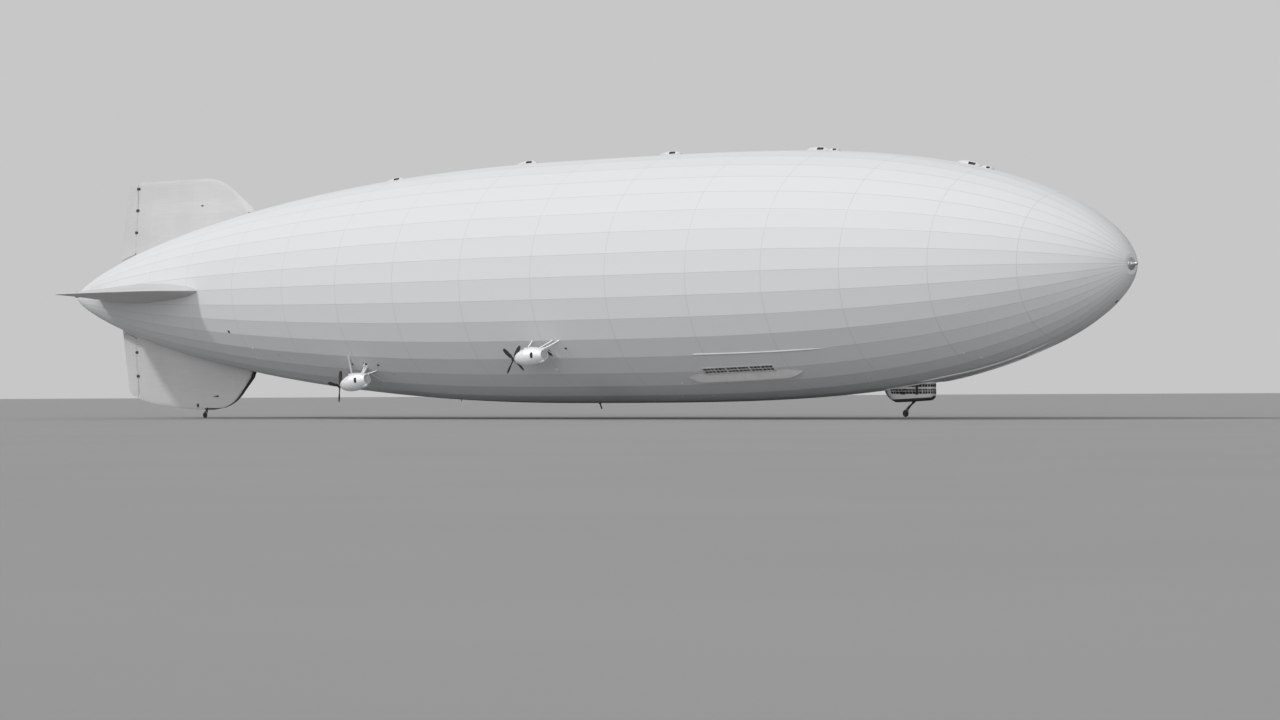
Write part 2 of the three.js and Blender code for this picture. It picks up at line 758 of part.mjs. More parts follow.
// Air hoods: a half egg with its mouth cut in the aft end
function addHoods() {
  const { long, wide, high } = hood;
  hoodStations.forEach((station, index) => {
    const x = atStation(station);
    const z = facetedRadius(station) * m;
    const egg = new THREE.SphereGeometry(1, 12, 8).scale(long * m, wide * m, high * m);
    const mouthX = x - hoodMouth.aft * m;
    const mouth = box(long * m, wide * m, hoodMouth.high * m, mouthX, 0, z + hoodMouth.rise * m);
    const body = toSolid(egg.translate(x, 0, z)).subtract(mouth).subtract(seatedHull);
    addPiece(`air_hood_${index + 1}`, toGeometry(body), 'painted');
  });
}

addHull();
addSpindle();
for (const fin of fins) addFin(fin);
for (const row of Object.keys(carRows)) {
  for (const side of carSides) addEngineCar(row, side);
}
addControlCar();
addBumper();
const bumperForm = carForm(-bumper.proud - seatGap / m);
const lowerFin = finBody(sideFinSections).rotate([180, 0, 0]).translate([0, 0, -seatGap]);
addWheel(wheelLegs[0], bumperForm);
addWheel(wheelLegs[1], lowerFin);
addHoods();

export default airship;
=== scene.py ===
"""Looks of the rigid airship, a 1:10 model that lies along X with its nose at +X.

The tables below are in full-size metres, in the same terms as the part's own tables: stations
count from the tip of the tail, heights and widths from the hull's axis. SHIP turns them into
metres of the model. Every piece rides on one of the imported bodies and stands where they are.
"""

import math
from contextlib import contextmanager

import bmesh
import bpy
from bpy.props import FloatProperty, FloatVectorProperty, IntProperty, PointerProperty
from mathutils import Matrix, Vector


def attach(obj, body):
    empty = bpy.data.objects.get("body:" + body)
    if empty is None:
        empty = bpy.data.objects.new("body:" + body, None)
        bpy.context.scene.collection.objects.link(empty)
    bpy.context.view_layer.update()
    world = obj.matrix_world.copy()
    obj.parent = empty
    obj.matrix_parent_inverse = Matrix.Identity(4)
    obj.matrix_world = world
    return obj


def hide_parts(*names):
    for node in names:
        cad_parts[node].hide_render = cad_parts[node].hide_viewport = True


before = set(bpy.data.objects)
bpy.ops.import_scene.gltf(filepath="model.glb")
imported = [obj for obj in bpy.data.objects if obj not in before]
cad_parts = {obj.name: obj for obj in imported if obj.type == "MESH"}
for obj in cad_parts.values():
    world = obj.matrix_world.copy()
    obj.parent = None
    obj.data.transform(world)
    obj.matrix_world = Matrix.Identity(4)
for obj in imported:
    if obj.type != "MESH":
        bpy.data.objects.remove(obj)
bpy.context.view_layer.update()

bl_info = {
    "name": "Rigid airship dresser",
    "version": (1, 0, 0),
    "blender": (4, 5, 0),
    "location": "3D View > Sidebar > Airship",
    "description": "Models and finishes the pieces of a rigid airship over its solids",
    "category": "Add Mesh",
}

SHIP = 0.1
ORIGIN = 134
FLOOR = -23.2
SIDES = ((-1, "starboard"), (1, "port"))
# Turn of a primitive that lays its axis along X
LAID = (0, math.pi / 2, 0)

# Hull: the fullest radius and the curves of bow and stern
MAX_RADIUS = 20.55
FULLEST = 132.4
TIP = 245
BOW = {"reach": TIP - 132.4, "power": 3.59, "root": 1.62}
STERN = {"reach": 132.4 + 0.614, "power": 2.044, "root": 1.321}
FACETS = 36
BOW_END = 244.5
MAIN_RINGS = [20, 33.5, 47, 62, 77, 92, 107, 123.5, 140, 156.5, 173.5, 188.5, 203, 218, 231.5]

# Spindle at the nose: station, radius
SPINDLE = [(244.505, 0.95), (244.62, 0.9), (244.8, 0.62), (244.95, 0.5), (245.15, 0.28), (245.6, 0.22)]

# Fins: distance from the axis, trailing station, leading station, half thickness
SIDE_FIN = [
    (4, 12.6, 50.9, 1.95), (7.5, 13.1, 50.9, 1.92), (11, 13.7, 50.9, 1.8), (14.6, 14.3, 50.8, 1.3),
    (18, 14.8, 47.8, 0.62), (18.9, 16, 46.9, 0.48), (20.2, 20.8, 45, 0.32), (21.2, 29.3, 42.2, 0.18),
    (21.6, 34.5, 39, 0.08),
]
TOP_FIN = [
    (4, 12.1, 50.9, 1.95), (7.5, 12.6, 50.9, 1.92), (11, 13.3, 50.9, 1.8), (14.8, 14, 50.5, 1.28),
    (17.4, 14.5, 47.1, 0.72), (19.4, 14.9, 44.1, 0.45), (20.9, 15.2, 40.8, 0.26), (21.5, 18.6, 37.6, 0.12),
]
# Fin section from its trailing edge: share of the chord, share of the half thickness
FIN_SECTION = [
    (0, 0.03), (0.06, 0.24), (0.12, 0.42), (0.22, 0.65), (0.35, 0.86), (0.53, 1), (0.7, 0.95),
    (0.83, 0.8), (0.93, 0.55), (0.98, 0.3), (1, 0),
]
HINGE_STATION = 17.4
FLAP_ROOT = {"height": 6.72, "station": 12.5, "rise": 0.24}
FLAP_NOSE_FROM = 8.1
FLAP_LIP = 0.5
FIN_RIBS = [20.5, 24.5, 28.5, 32.5, 36.5, 40.5, 44.5, 48]
FLAP_RIBS = [9.2, 11.1, 13, 14.9, 16.8]

# Each fin: its name, what moves behind it, its turn about the hull's axis, its table
FINS = [
    ("upper", "rudder", 0, TOP_FIN),
    ("lower", "rudder", 180, SIDE_FIN),
    ("starboard", "elevator", 90, SIDE_FIN),
    ("port", "elevator", -90, SIDE_FIN),
]


# Places
def x_at(station):
    """X of a station in the model"""
    return (station - ORIGIN) * SHIP


def at(station, y, z):
    """Point of the model for a station, a width and a height in full-size metres"""
    return Vector((x_at(station), y * SHIP, z * SHIP))


def scaled(rows):
    return [tuple(value * SHIP for value in row) for row in rows]


def turned(degrees, axis):
    return Matrix.Rotation(math.radians(degrees), 4, axis)


def shifted(x, y, z):
    return Matrix.Translation((x, y, z))


def framed(columns, origin):
    """Frame with these three axes and this origin"""
    matrix = Matrix(columns).transposed().to_4x4()
    matrix.translation = origin
    return matrix


def hull_radius(station):
    """Radius of the hull's corners at a station"""
    curve = BOW if station > FULLEST else STERN
    share = abs(station - FULLEST) / curve["reach"]
    return MAX_RADIUS * (1 - share ** curve["power"]) ** (1 / curve["root"])


def hull_rings(stations, proud=0.0):
    """Rings of the hull's form for a lathe, all of them this much larger"""
    return [(x_at(station), hull_radius(station) * SHIP + proud) for station in stations]


def hull_point(station, below, side, proud=0.0):
    """Point on the flat facets of the skin, for degrees below the horizontal on one side"""
    half = math.pi / FACETS
    angle = math.radians(below)
    from_middle = (angle / half) % 2 - 1
    radius = hull_radius(station) * math.cos(half) / math.cos(from_middle * half) + proud
    return at(station, side * radius * math.cos(angle), -radius * math.sin(angle))


def skin_frame(station, below, side):
    """Frame on the skin: X along the ship, Y round the girth and Z straight out"""
    here = hull_point(station, below, side)
    ahead = (hull_point(station + 0.5, below, side) - here).normalized()
    angle = math.radians(below)
    out = Vector((0, side * math.cos(angle), -math.sin(angle)))
    out = (out - out.dot(ahead) * ahead).normalized()
    return framed((ahead, out.cross(ahead), out), here)


def wall_frame(side, station, y, z):
    """Frame on a wall that faces along Y, at a distance from the middle: X ahead and Z outwards"""
    return framed(((1, 0, 0), (0, 0, -side), (0, side, 0)), at(station, side * y, z))


def smooth_rows(rows, parts):
    """Rows of a table with more between them, on a curve that doesn't overshoot"""
    def slope(index, column):
        if index in (0, len(rows) - 1):
            a, b = rows[:2] if index == 0 else rows[-2:]
            return (b[column] - a[column]) / (b[0] - a[0])
        a, b, c = rows[index - 1:index + 2]
        before = (b[column] - a[column]) / (b[0] - a[0])
        after = (c[column] - b[column]) / (c[0] - b[0])
        return 0 if before * after <= 0 else 2 * before * after / (before + after)

    made = []
    for index, (a, b) in enumerate(zip(rows, rows[1:])):
        step = b[0] - a[0]
        for part in range(parts):
            t = part / parts
            row = [a[0] + t * step]
            for column in range(1, len(a)):
                start, end = slope(index, column) * step, slope(index + 1, column) * step
                row.append(
                    a[column] * (2 * t**3 - 3 * t**2 + 1) + b[column] * (3 * t**2 - 2 * t**3)
                    + start * (t**3 - 2 * t**2 + t) + end * (t**3 - t**2)
                )
            made.append(tuple(row))
    return made + [tuple(rows[-1])]


def smooth_path(points, parts):
    """More points along a line in a plane, on a curve through the given ones"""
    made = []
    last = len(points) - 1
    for index in range(last):
        p0, p1, p2, p3 = (Vector(points[min(max(index + shift, 0), last)]) for shift in (-1, 0, 1, 2))
        for part in range(parts):
            t = part / parts
            bend = (2 * p0 - 5 * p1 + 4 * p2 - p3) * t * t + (3 * p1 - p0 - 3 * p2 + p3) * t**3
            made.append(tuple(0.5 * (2 * p1 + (p2 - p0) * t + bend)))
    return made + [tuple(points[-1])]


def offset_path(points, distance):
    """The same line moved to its left by a distance"""
    made = []
    for index, point in enumerate(points):
        a = Vector(points[max(index - 1, 0)])
        b = Vector(points[min(index + 1, len(points) - 1)])
        ahead = (b - a).normalized()
        made.append((point[0] - ahead.y * distance, point[1] + ahead.x * distance))
    return made


def between(rows, value, column):
    """Value of a column where the table's first column has this value"""
    for a, b in zip(rows, rows[1:]):
        if value <= b[0]:
            break
    return a[column] + (b[column] - a[column]) * (value - a[0]) / (b[0] - a[0])


# Modelling steps
def deselect():
    if bpy.context.mode != "OBJECT":
        bpy.ops.object.mode_set(mode="OBJECT")
    bpy.ops.object.select_all(action="DESELECT")


def choose(*pieces):
    """Selects these objects alone, the last one active"""
    deselect()
    for piece in pieces:
        piece.select_set(True)
    bpy.context.view_layer.objects.active = pieces[-1]


def apply_place():
    bpy.ops.object.transform_apply(location=True, rotation=True, scale=True)


def named(piece, name):
    piece.name = piece.data.name = name
    return piece


def remove(*pieces):
    for piece in pieces:
        bpy.data.objects.remove(piece)


def start(kind, name, **size):
    """Adds a primitive, with its place in its mesh"""
    deselect()
    getattr(bpy.ops.mesh, f"primitive_{kind}_add")(**size)
    apply_place()
    return named(bpy.context.object, name)


@contextmanager
def shaping(piece, mode="VERT"):
    """Edit mode on one piece, with nothing selected at first"""
    choose(piece)
    bpy.ops.object.mode_set(mode="EDIT")
    bpy.ops.mesh.select_mode(type=mode)
    bpy.ops.mesh.select_all(action="DESELECT")
    yield
    bpy.ops.object.mode_set(mode="OBJECT")


def select_all():
    bpy.ops.mesh.select_all(action="SELECT")


def pick(piece, kind, test):
    """Selects the vertices, edges or faces that pass a test, and nothing else"""
    bpy.ops.mesh.select_all(action="DESELECT")
    mesh = bmesh.from_edit_mesh(piece.data)
    for element in getattr(mesh, kind):
        if test(element):
            element.select_set(True)
    if kind == "verts":
        mesh.select_flush(True)
    bmesh.update_edit_mesh(piece.data)


def pick_verts(piece, test):
    pick(piece, "verts", lambda vert: test(vert.co))


def pick_edges(piece, test):
    """Selects edges by their two ends"""
    pick(piece, "edges", lambda edge: test(edge.verts[0].co, edge.verts[1].co))


def pick_faces(piece, test):
    """Selects faces by their centre and normal"""
    pick(piece, "faces", lambda face: test(face.calc_center_median(), face.normal))


def extrude(shift):
    bpy.ops.mesh.extrude_region_move(TRANSFORM_OT_translate={"value": tuple(shift)})


def swell(proud):
    """Raises the selected faces off the skin, with walls round them"""
    bpy.ops.mesh.extrude_region_shrink_fatten(TRANSFORM_OT_shrink_fatten={"value": -proud})


def resize(value, centre):
    bpy.ops.transform.resize(value=tuple(value), center_override=tuple(centre))


def bevel(offset, segments=2, **settings):
    bpy.ops.mesh.bevel(offset=offset, segments=segments, affect="EDGES", **settings)


def cut_across(point, normal, **settings):
    """Cuts the whole piece along a plane; the settings can clear one side of it"""
    select_all()
    bpy.ops.mesh.bisect(plane_co=point, plane_no=normal, **settings)


def fill():
    """Closes the whole line with a face"""
    select_all()
    bpy.ops.mesh.edge_face_add()


def turn_faces_out():
    select_all()
    bpy.ops.mesh.normals_make_consistent(inside=False)


def close_normals():
    select_all()
    bpy.ops.mesh.remove_doubles(threshold=1e-5)
    turn_faces_out()


def give_slot(index):
    """Gives the selected faces the material in this slot"""
    bpy.context.object.active_material_index = index
    bpy.ops.object.material_slot_assign()


def outline(name, points):
    """A closed line drawn through the points, one extrusion for each"""
    piece = start("plane", name, size=0.01, location=tuple(points[0]))
    with shaping(piece):
        select_all()
        bpy.ops.mesh.merge(type="CENTER")
        here = Vector(points[0])
        for point in points[1:]:
            extrude(Vector(point) - here)
            here = Vector(point)
        ends = (Vector(points[0]), here)
        pick_verts(piece, lambda co: min((co - end).length for end in ends) < 1e-6)
        bpy.ops.mesh.edge_face_add()
    return piece


def plate(name, points, thick):
    """A flat closed outline of stations and heights, thickened along Y about the middle plane"""
    piece = outline(name, [(x_at(station), -thick / 2, z * SHIP) for station, z in points])
    with shaping(piece):
        fill()
        extrude((0, thick, 0))
        close_normals()
    return piece


def lathe(name, rings, steps, closed=False):
    """Rings about the X axis, each with its x and radius; open ends are closed with a face"""
    (x, radius), rest = rings[0], rings[1:]
    piece = start("circle", name, vertices=steps, radius=radius, location=(x, 0, 0), rotation=LAID)
    with shaping(piece):
        if closed:
            select_all()
        else:
            fill()
        for next_x, next_radius in rest:
            extrude((next_x - x, 0, 0))
            scale = next_radius / radius
            resize((1, scale, scale), (next_x, 0, 0))
            x, radius = next_x, next_radius
        close_normals()
    return piece


def rings_up(piece, rows):
    """Extrudes the whole first ring along Z: each row has height, centre x, width, depth"""
    with shaping(piece):
        fill()
        height, middle, long, wide = rows[0]
        for row in rows[1:]:
            extrude((row[1] - middle, 0, row[0] - height))
            resize((row[2] / long, row[3] / wide, 1), (row[1], 0, row[0]))
            height, middle, long, wide = row
        close_normals()


def apply_modifier(piece, kind, **settings):
    choose(piece)
    modifier = piece.modifiers.new(kind.title(), kind)
    for key, value in settings.items():
        setattr(modifier, key, value)
    bpy.ops.object.modifier_apply(modifier=modifier.name)


def boolean(piece, cutter, operation="DIFFERENCE", keep=False):
    apply_modifier(piece, "BOOLEAN", operation=operation, solver="EXACT", object=cutter)
    if not keep:
        remove(cutter)


def place(piece, matrix):
    """Moves a piece's mesh by a matrix; a mirrored one gets its faces turned right again"""
    piece.matrix_world = matrix
    choose(piece)
    apply_place()
    if matrix.determinant() < 0:
        with shaping(piece):
            turn_faces_out()
    return piece


def copied(piece, name, matrix):
    copy = piece.copy()
    copy.data = piece.data.copy()
    bpy.context.scene.collection.objects.link(copy)
    return place(named(copy, name), matrix)


def joined(name, pieces):
    choose(*pieces)
    bpy.ops.object.join()
    return named(bpy.context.object, name)


def rounded(piece, offset, segments=2, test=None):
    """Rounds the edges whose two ends pass a test, or else every edge"""
    with shaping(piece, "EDGE"):
        if test:
            pick_edges(piece, test)
        else:
            select_all()
        bevel(offset, segments)
    return piece


def box(name, size, middle=(0, 0, 0)):
    return start("cube", name, size=1, scale=tuple(size), location=tuple(middle))


def rounded_slab(name, long, wide, thick, corner, sunk=0.0, rim=0.0):
    """A plate on Z = 0 with round corners and, with a rim, a sunk panel in its face"""
    slab = box(name, (long, wide, thick), (0, 0, thick / 2))
    rounded(slab, corner, 4, lambda a, b: (a.xy - b.xy).length < 1e-6)
    if not rim:
        return rounded(slab, min(thick, corner) * 0.3, 2, lambda a, b: min(a.z, b.z) > thick * 0.9)
    with shaping(slab, "FACE"):
        pick_faces(slab, lambda centre, normal: normal.z > 0.9)
        bpy.ops.mesh.inset(thickness=rim)
        extrude((0, 0, -sunk))
    return slab


def bolts(count, radius, depth, edge, middle, test, first=0.0, segments=1):
    """Six-sided steel bolts in a ring about the X axis, rounded at the edges that pass the test"""
    made = []
    for step in range(count):
        bolt = start("cylinder", "bolt", vertices=6, radius=radius, depth=depth, rotation=LAID)
        with_finishes(rounded(bolt, edge, segments, test), "steel")
        made.append(place(bolt, turned(360 * (step + first) / count, "X") @ shifted(*middle)))
    return made


def tape(width, proud, slot=None):
    """The selected edges become flat tapes that stand proud of the skin"""
    bevel(width / 2, 1, clamp_overlap=True)
    bpy.ops.mesh.select_mode(type="FACE")
    if slot is not None:
        give_slot(slot)
    swell(proud)


def with_finishes(piece, *finishes):
    for finish in finishes:
        piece.data.materials.append(bpy.data.materials[finish])
    return piece


def finished(piece, finish=None, replaces=(), smooth=30, body="airship"):
    """Gives a piece its material, smooth shading, body and the solids that it stands for"""
    if finish:
        with_finishes(piece, finish)
    choose(piece)
    bpy.ops.object.shade_smooth_by_angle(angle=math.radians(smooth))
    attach(piece, body)
    if replaces:
        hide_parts(*replaces)
    return piece


def finished_trim(label, made, turn=Matrix()):
    """Joins small pieces of the same finish into one, for each finish"""
    for finish, parts in made.items():
        piece = place(joined(f"{label}_{finish}", parts), turn)
        finished(piece, finish)


# Materials
class Finish:
    """A new material, varied over the coordinates of the object that wears it"""

    def __init__(self, name, shade, roughness, metallic=0.0, **constants):
        material = bpy.data.materials.new(name)
        material.use_nodes = True
        material.diffuse_color = (*shade[:3], 1)
        self.tree = material.node_tree
        self.shade = tuple(shade[:3])
        self.shader = self.tree.nodes["Principled BSDF"]
        self.fill_in(self.shader, {"Roughness": roughness, "Metallic": metallic, **constants})
        self.coords = self.node("TexCoord").outputs["Object"]

    def fill_in(self, made, inputs):
        """Sets inputs of a node, each to a number, a colour or another node's output"""
        for key, value in inputs.items():
            socket = made.inputs[key.replace("_", " ") if isinstance(key, str) else key]
            if isinstance(value, bpy.types.NodeSocket):
                self.tree.links.new(value, socket)
            else:
                socket.default_value = value

    def node(self, kind, settings=None, **inputs):
        made = self.tree.nodes.new(f"ShaderNode{kind}")
        for key, value in (settings or {}).items():
            setattr(made, key, value)
        self.fill_in(made, inputs)
        return made

    def calc(self, operation, *values):
        """One sum on numbers or outputs"""
        made = self.node("Math", {"operation": operation})
        self.fill_in(made, dict(enumerate(values)))
        return made.outputs[0]

    def times(self, value, factor):
        return self.calc("MULTIPLY", value, factor)

    def added(self, total, *values):
        for value in values:
            total = self.calc("ADD", total, value)
        return total

    def noise(self, scale, detail, stretch=None):
        """Noise over the object, with each axis scaled first if a stretch is given"""
        vector = self.coords
        if stretch:
            vector = self.node("Mapping", Vector=vector, Scale=stretch).outputs["Vector"]
        return self.node("TexNoise", Vector=vector, Scale=scale, Detail=detail).outputs["Fac"]

    def spread(self, value, to_low, to_high, low=0.3, high=0.7):
        """Maps a range of a value to another range"""
        ends = {"From_Min": low, "From_Max": high, "To_Min": to_low, "To_Max": to_high}
        return self.node("MapRange", Value=value, **ends).outputs["Result"]

    def colour(self, *factors):
        """Colours the shader with the shade times the sum of these factors"""
        made = self.node("VectorMath", {"operation": "SCALE"}, Scale=self.added(*factors))
        made.inputs[0].default_value = self.shade
        self.fill_in(self.shader, {"Base_Color": made.outputs["Vector"]})

    def bump(self, height, strength, distance):
        made = self.node("Bump", Height=height, Strength=strength, Distance=distance)
        self.fill_in(self.shader, {"Normal": made.outputs["Normal"]})

    def rough(self, *spread):
        self.fill_in(self.shader, {"Roughness": self.spread(*spread)})


def make_fabric(name, shade, tone, frames):
    """Doped cloth: each panel has its own tone, with stretch lines, laced frames and a weave"""
    cloth = Finish(name, shade, 0.62, Sheen_Weight=0.08, Sheen_Roughness=0.5)
    parts = cloth.node("SeparateXYZ", Vector=cloth.coords).outputs
    turn = cloth.calc("ARCTAN2", parts["Y"], parts["Z"])
    facet = cloth.calc("FLOOR", cloth.times(turn, FACETS / math.tau))
    ahead = cloth.added(parts["X"], 20)
    bay = cloth.calc("FLOOR", cloth.times(ahead, 1 / frames))
    cell = cloth.node("CombineXYZ", X=facet, Y=bay).outputs["Vector"]
    panel = cloth.node("TexWhiteNoise", {"noise_dimensions": "3D"}, Vector=cell).outputs["Value"]
    streaks = cloth.noise(3, 5, (0.5, 14, 14))
    soiling = cloth.noise(1.1, 4)
    seam = cloth.spread(cloth.calc("PINGPONG", ahead, frames / 2), 1, 0, 0, 0.012)
    cloth.colour(
        cloth.spread(panel, 1 - tone, 1 + tone, 0, 1), cloth.spread(streaks, -0.03, 0.03),
        cloth.spread(soiling, -0.035, 0.02), cloth.times(seam, -0.035),
    )
    weave = cloth.noise(260, 2)
    slack = cloth.noise(1.6, 2, (2.2, 9, 9))
    height = cloth.added(cloth.times(weave, 0.15), cloth.times(slack, 0.6), cloth.times(seam, 0.5))
    cloth.bump(height, 0.35, 0.003)
    cloth.rough(soiling, 0.56, 0.68)


def make_paint(name, shade, roughness=0.38, wear=0.06):
    """Paint over sheet metal, a little uneven and rubbed"""
    paint = Finish(name, shade, roughness, Coat_Weight=0.1, Coat_Roughness=0.3)
    blotches = paint.noise(9, 5)
    runs = paint.noise(1.5, 3, (30, 30, 4))
    paint.colour(paint.spread(blotches, 1 - wear, 1), paint.spread(runs, -wear / 2, 0))
    paint.bump(paint.noise(120, 2), 0.08, 0.001)
    paint.rough(blotches, roughness - 0.05, roughness + 0.1)


def make_metal(name, shade, roughness, metallic, grain):
    """Bare or oiled metal with a grain of this size and darker patches"""
    metal = Finish(name, shade, roughness, metallic)
    patches, fine = metal.noise(grain / 8, 5), metal.noise(grain, 3)
    metal.colour(metal.spread(patches, 0.78, 1.06), metal.spread(fine, -0.06, 0.06))
    metal.bump(fine, 0.12, 0.0012)
    metal.rough(patches, roughness + 0.12, roughness - 0.06)


def make_glass(name, shade, grain, tones, roughness, alpha=1.0):
    """Dark or tinted panes, faintly dusty and darkened as painted shade of the rooms behind; the tinted
    ones show a little of what is behind them
    """
    glass = Finish(name, shade, roughness[0], IOR=1.25, Alpha=alpha)
    dust = glass.noise(grain, 4)
    glass.colour(glass.spread(dust, *tones))
    glass.rough(dust, *roughness, 0.35, 0.75)


def make_wood(name, shade):
    """Varnished wood, glued up in thin layers"""
    wood = Finish(name, shade, 0.3, Coat_Weight=0.5, Coat_Roughness=0.18)
    layers = wood.node(
        "TexWave", {"wave_type": "BANDS", "bands_direction": "X"},
        Vector=wood.coords, Scale=45, Distortion=3, Detail=3, Detail_Scale=2,
    ).outputs["Fac"]
    pores = wood.noise(140, 2)
    wood.colour(wood.spread(layers, 0.7, 1.3, 0, 1), wood.spread(pores, -0.1, 0.1))
    wood.bump(pores, 0.08, 0.0008)


def make_rubber(name, shade, grain=160):
    """Matt rubber with dust in it"""
    rubber = Finish(name, shade, 0.75)
    dust = rubber.noise(14, 5)
    rubber.colour(rubber.spread(dust, 0.8, 1.9, 0.3, 0.75))
    rubber.bump(rubber.noise(grain, 2), 0.25, 0.0015)
    rubber.rough(dust, 0.68, 0.85)


def make_floor(name, shade):
    """Pale studio floor, barely mottled"""
    floor = Finish(name, shade, 0.9, Specular_IOR_Level=0.2)
    floor.colour(floor.spread(floor.noise(0.35, 4), 0.985, 1.015))


# Values that a user would change
def shade_property(name, description, value):
    return FloatVectorProperty(
        name=name, description=description, default=(value,) * 3, subtype="COLOR", min=0, max=1
    )


def length_property(name, description, value):
    return FloatProperty(
        name=name, description=description, default=value, min=0, subtype="DISTANCE", unit="LENGTH"
    )


class AirshipShades(bpy.types.PropertyGroup):
    """Shades of the finishes"""

    fabric: shade_property("Fabric", "Doped cover of the hull", 0.46)
    # Painted light: the fins wear a lighter copy of the hull's cloth, which paints extra light onto them
    fin: shade_property("Fin fabric", "Doped cover of the fins", 0.54)
    # Painted light: the tape is lighter than the cloth so that the shade on its raised edges doesn't show
    # as dark lines
    tape: shade_property("Tape", "Doped tapes over the cover's seams", 0.54)
    paint: shade_property("Paint", "Pale paint of the engine cars and struts", 0.8)
    car: shade_property("Control car", "Paint of the control car", 0.62)
    # Painted shade: these panes are opaque and nearly black, standing in for the unlit rooms behind them
    glass: shade_property("Glass", "Dark panes of the promenade and the engine cars", 0.02)
    # Painted shade in part: the cabin panes are tinted dark and only a little clear, for the dim cabin
    # behind them
    cabin: shade_property("Cabin glass", "Tinted panes of the control car", 0.06)
    radiator: shade_property("Radiator", "Shutters in the noses of the engine cars", 0.62)
    metal: shade_property("Dark metal", "Hatches, louvres and fittings", 0.035)
    steel: shade_property("Steel", "Spindle, pins and axles", 0.32)
    iron: shade_property("Engine iron", "Engines", 0.09)
    wood: shade_property("Propeller wood", "Varnished blades", 0.03)
    # This dark shade goes on the control car's fender and on the band along the lower fin's edge
    rubber: shade_property("Fender", "Rubbered cloth of the control car's fender", 0.022)
    tyre: shade_property("Tyre", "Tyres of the landing wheels", 0.03)
    floor: shade_property("Floor", "Studio floor", 0.32)


class AirshipSizes(bpy.types.PropertyGroup):
    """Sizes of the trim, in metres of the model"""

    cover_step: length_property("Cover step", "Longest straight piece of the hull's profile", 0.3)
    cover_thick: length_property("Cover thickness", "Thickness of the hull's cover", 0.008)
    tape_wide: length_property("Tape width", "Width of the tapes along the hull's corners", 0.01)
    tape_proud: length_property("Tape height", "How far a tape stands off the cover", 0.0003)
    rib_wide: length_property("Rib tape width", "Width of the tapes over the fins' ribs", 0.012)
    frame_wide: length_property("Window bar width", "Width of the bars between panes", 0.009)
    tyre_round: length_property("Tyre roundness", "Radius of a tyre's shoulders", 0.012)
    blade_steps: IntProperty(
        name="Blade steps", description="Sections of a blade between two rows of its table",
        default=4, min=1,
    )


class AirshipOperator(bpy.types.Operator):
    """Base of the operators below"""

    bl_options = {"REGISTER", "UNDO"}

    @property
    def sizes(self):
        return bpy.context.scene.airship_sizes


class AIRSHIP_OT_finishes(AirshipOperator):
    """Make every material"""

    bl_idname = "airship.finishes"
    bl_label = "Finishes"

    def execute(self, context):
        shades = context.scene.airship_shades
        make_fabric("hull_fabric", shades.fabric, 0.022, 0.5)
        # Painted light: the fins get a lighter copy of the hull's cloth
        make_fabric("fin_fabric", shades.fin, 0.012, 0.4)
        # The tape's lighter shade is painted light over the shade along its edges
        make_paint("seam_tape", shades.tape, 0.55, 0.03)
        make_paint("silver_paint", shades.paint)
        make_paint("car_paint", shades.car, 0.42, 0.08)
        make_paint("radiator_paint", shades.radiator, 0.5, 0.12)
        # Opaque, nearly black panes: painted shade of the rooms behind them
        make_glass("window_glass", shades.glass, 22, (0.7, 1.5), (0.04, 0.16))
        # Tinted panes, darkened as painted shade of the dim cabin
        make_glass("cabin_glass", shades.cabin, 30, (0.85, 1.15), (0.05, 0.2), 0.78)
        make_metal("dark_metal", shades.metal, 0.55, 0.2, 90)
        make_metal("steel", shades.steel, 0.32, 1.0, 160)
        make_metal("engine_iron", shades.iron, 0.45, 0.6, 120)
        make_wood("propeller_wood", shades.wood)
        # A dark band for the control car's fender and the lower fin's edge
        make_rubber("dark_rubber", shades.rubber, 90)
        make_rubber("tyre_rubber", shades.tyre)
        make_floor("studio_floor", shades.floor)
        return {"FINISHED"}


class AIRSHIP_OT_hull_cover(AirshipOperator):
    """Model the faceted cover of the hull with its taped seams"""

    bl_idname = "airship.hull_cover"
    bl_label = "Hull cover"

    def stations(self):
        """Stations at equal steps along the profile, with every main ring among them"""
        ends = [0, *MAIN_RINGS, BOW_END]
        step = self.sizes.cover_step / SHIP
        look, shortest, closest = 0.05, 0.12, 0.06
        found = []
        for a, b in zip(ends, ends[1:]):
            here = a
            while here < b - 1e-6:
                found.append(here)
                slope = abs(hull_radius(min(here + look, TIP)) - hull_radius(here)) / look
                here += max(shortest, step / math.hypot(1, slope) / (1 + 1.5 * slope))
            while b - found[-1] < closest and found[-1] not in ends:
                found.pop()
        return found + [BOW_END]

    def execute(self, context):
        sizes = self.sizes
        cover = lathe("hull_cover", hull_rings(self.stations()), FACETS)
        with_finishes(cover, "hull_fabric", "seam_tape")
        rings_x = [x_at(station) for station in MAIN_RINGS]
        tapes_from = x_at(6)

        def on_corner(a, b):
            if abs(a.x - b.x) <= 1e-5:
                return any(abs(a.x - x) < 1e-4 for x in rings_x)
            turn = abs(math.atan2(a.y, a.z) - math.atan2(b.y, b.z))
            return turn < 0.01 and min(a.yz.length, b.yz.length) > 0.02 and min(a.x, b.x) > tapes_from

        with shaping(cover, "EDGE"):
            pick_edges(cover, on_corner)
            tape(sizes.tape_wide, sizes.tape_proud, 1)
        apply_modifier(cover, "SOLIDIFY", thickness=sizes.cover_thick, offset=-1)
        for side, _ in SIDES:
            boolean(cover, promenade_opening(side))
        nodes = ["tail_cone", "nose_cap"] + [f"hull_section_{number}" for number in range(1, 10)]
        finished(cover, replaces=nodes, smooth=8)
        return {"FINISHED"}


def fin_row(table, height):
    """Trailing station, leading station and half thickness at a height"""
    return [between(table, height, column) for column in (1, 2, 3)]


def half_at(table, station, height):
    """Half thickness of a fin at a station and a height"""
    trailing, leading, half = fin_row(table, height)
    return half * between(FIN_SECTION, max((station - trailing) / (leading - trailing), 0), 1)


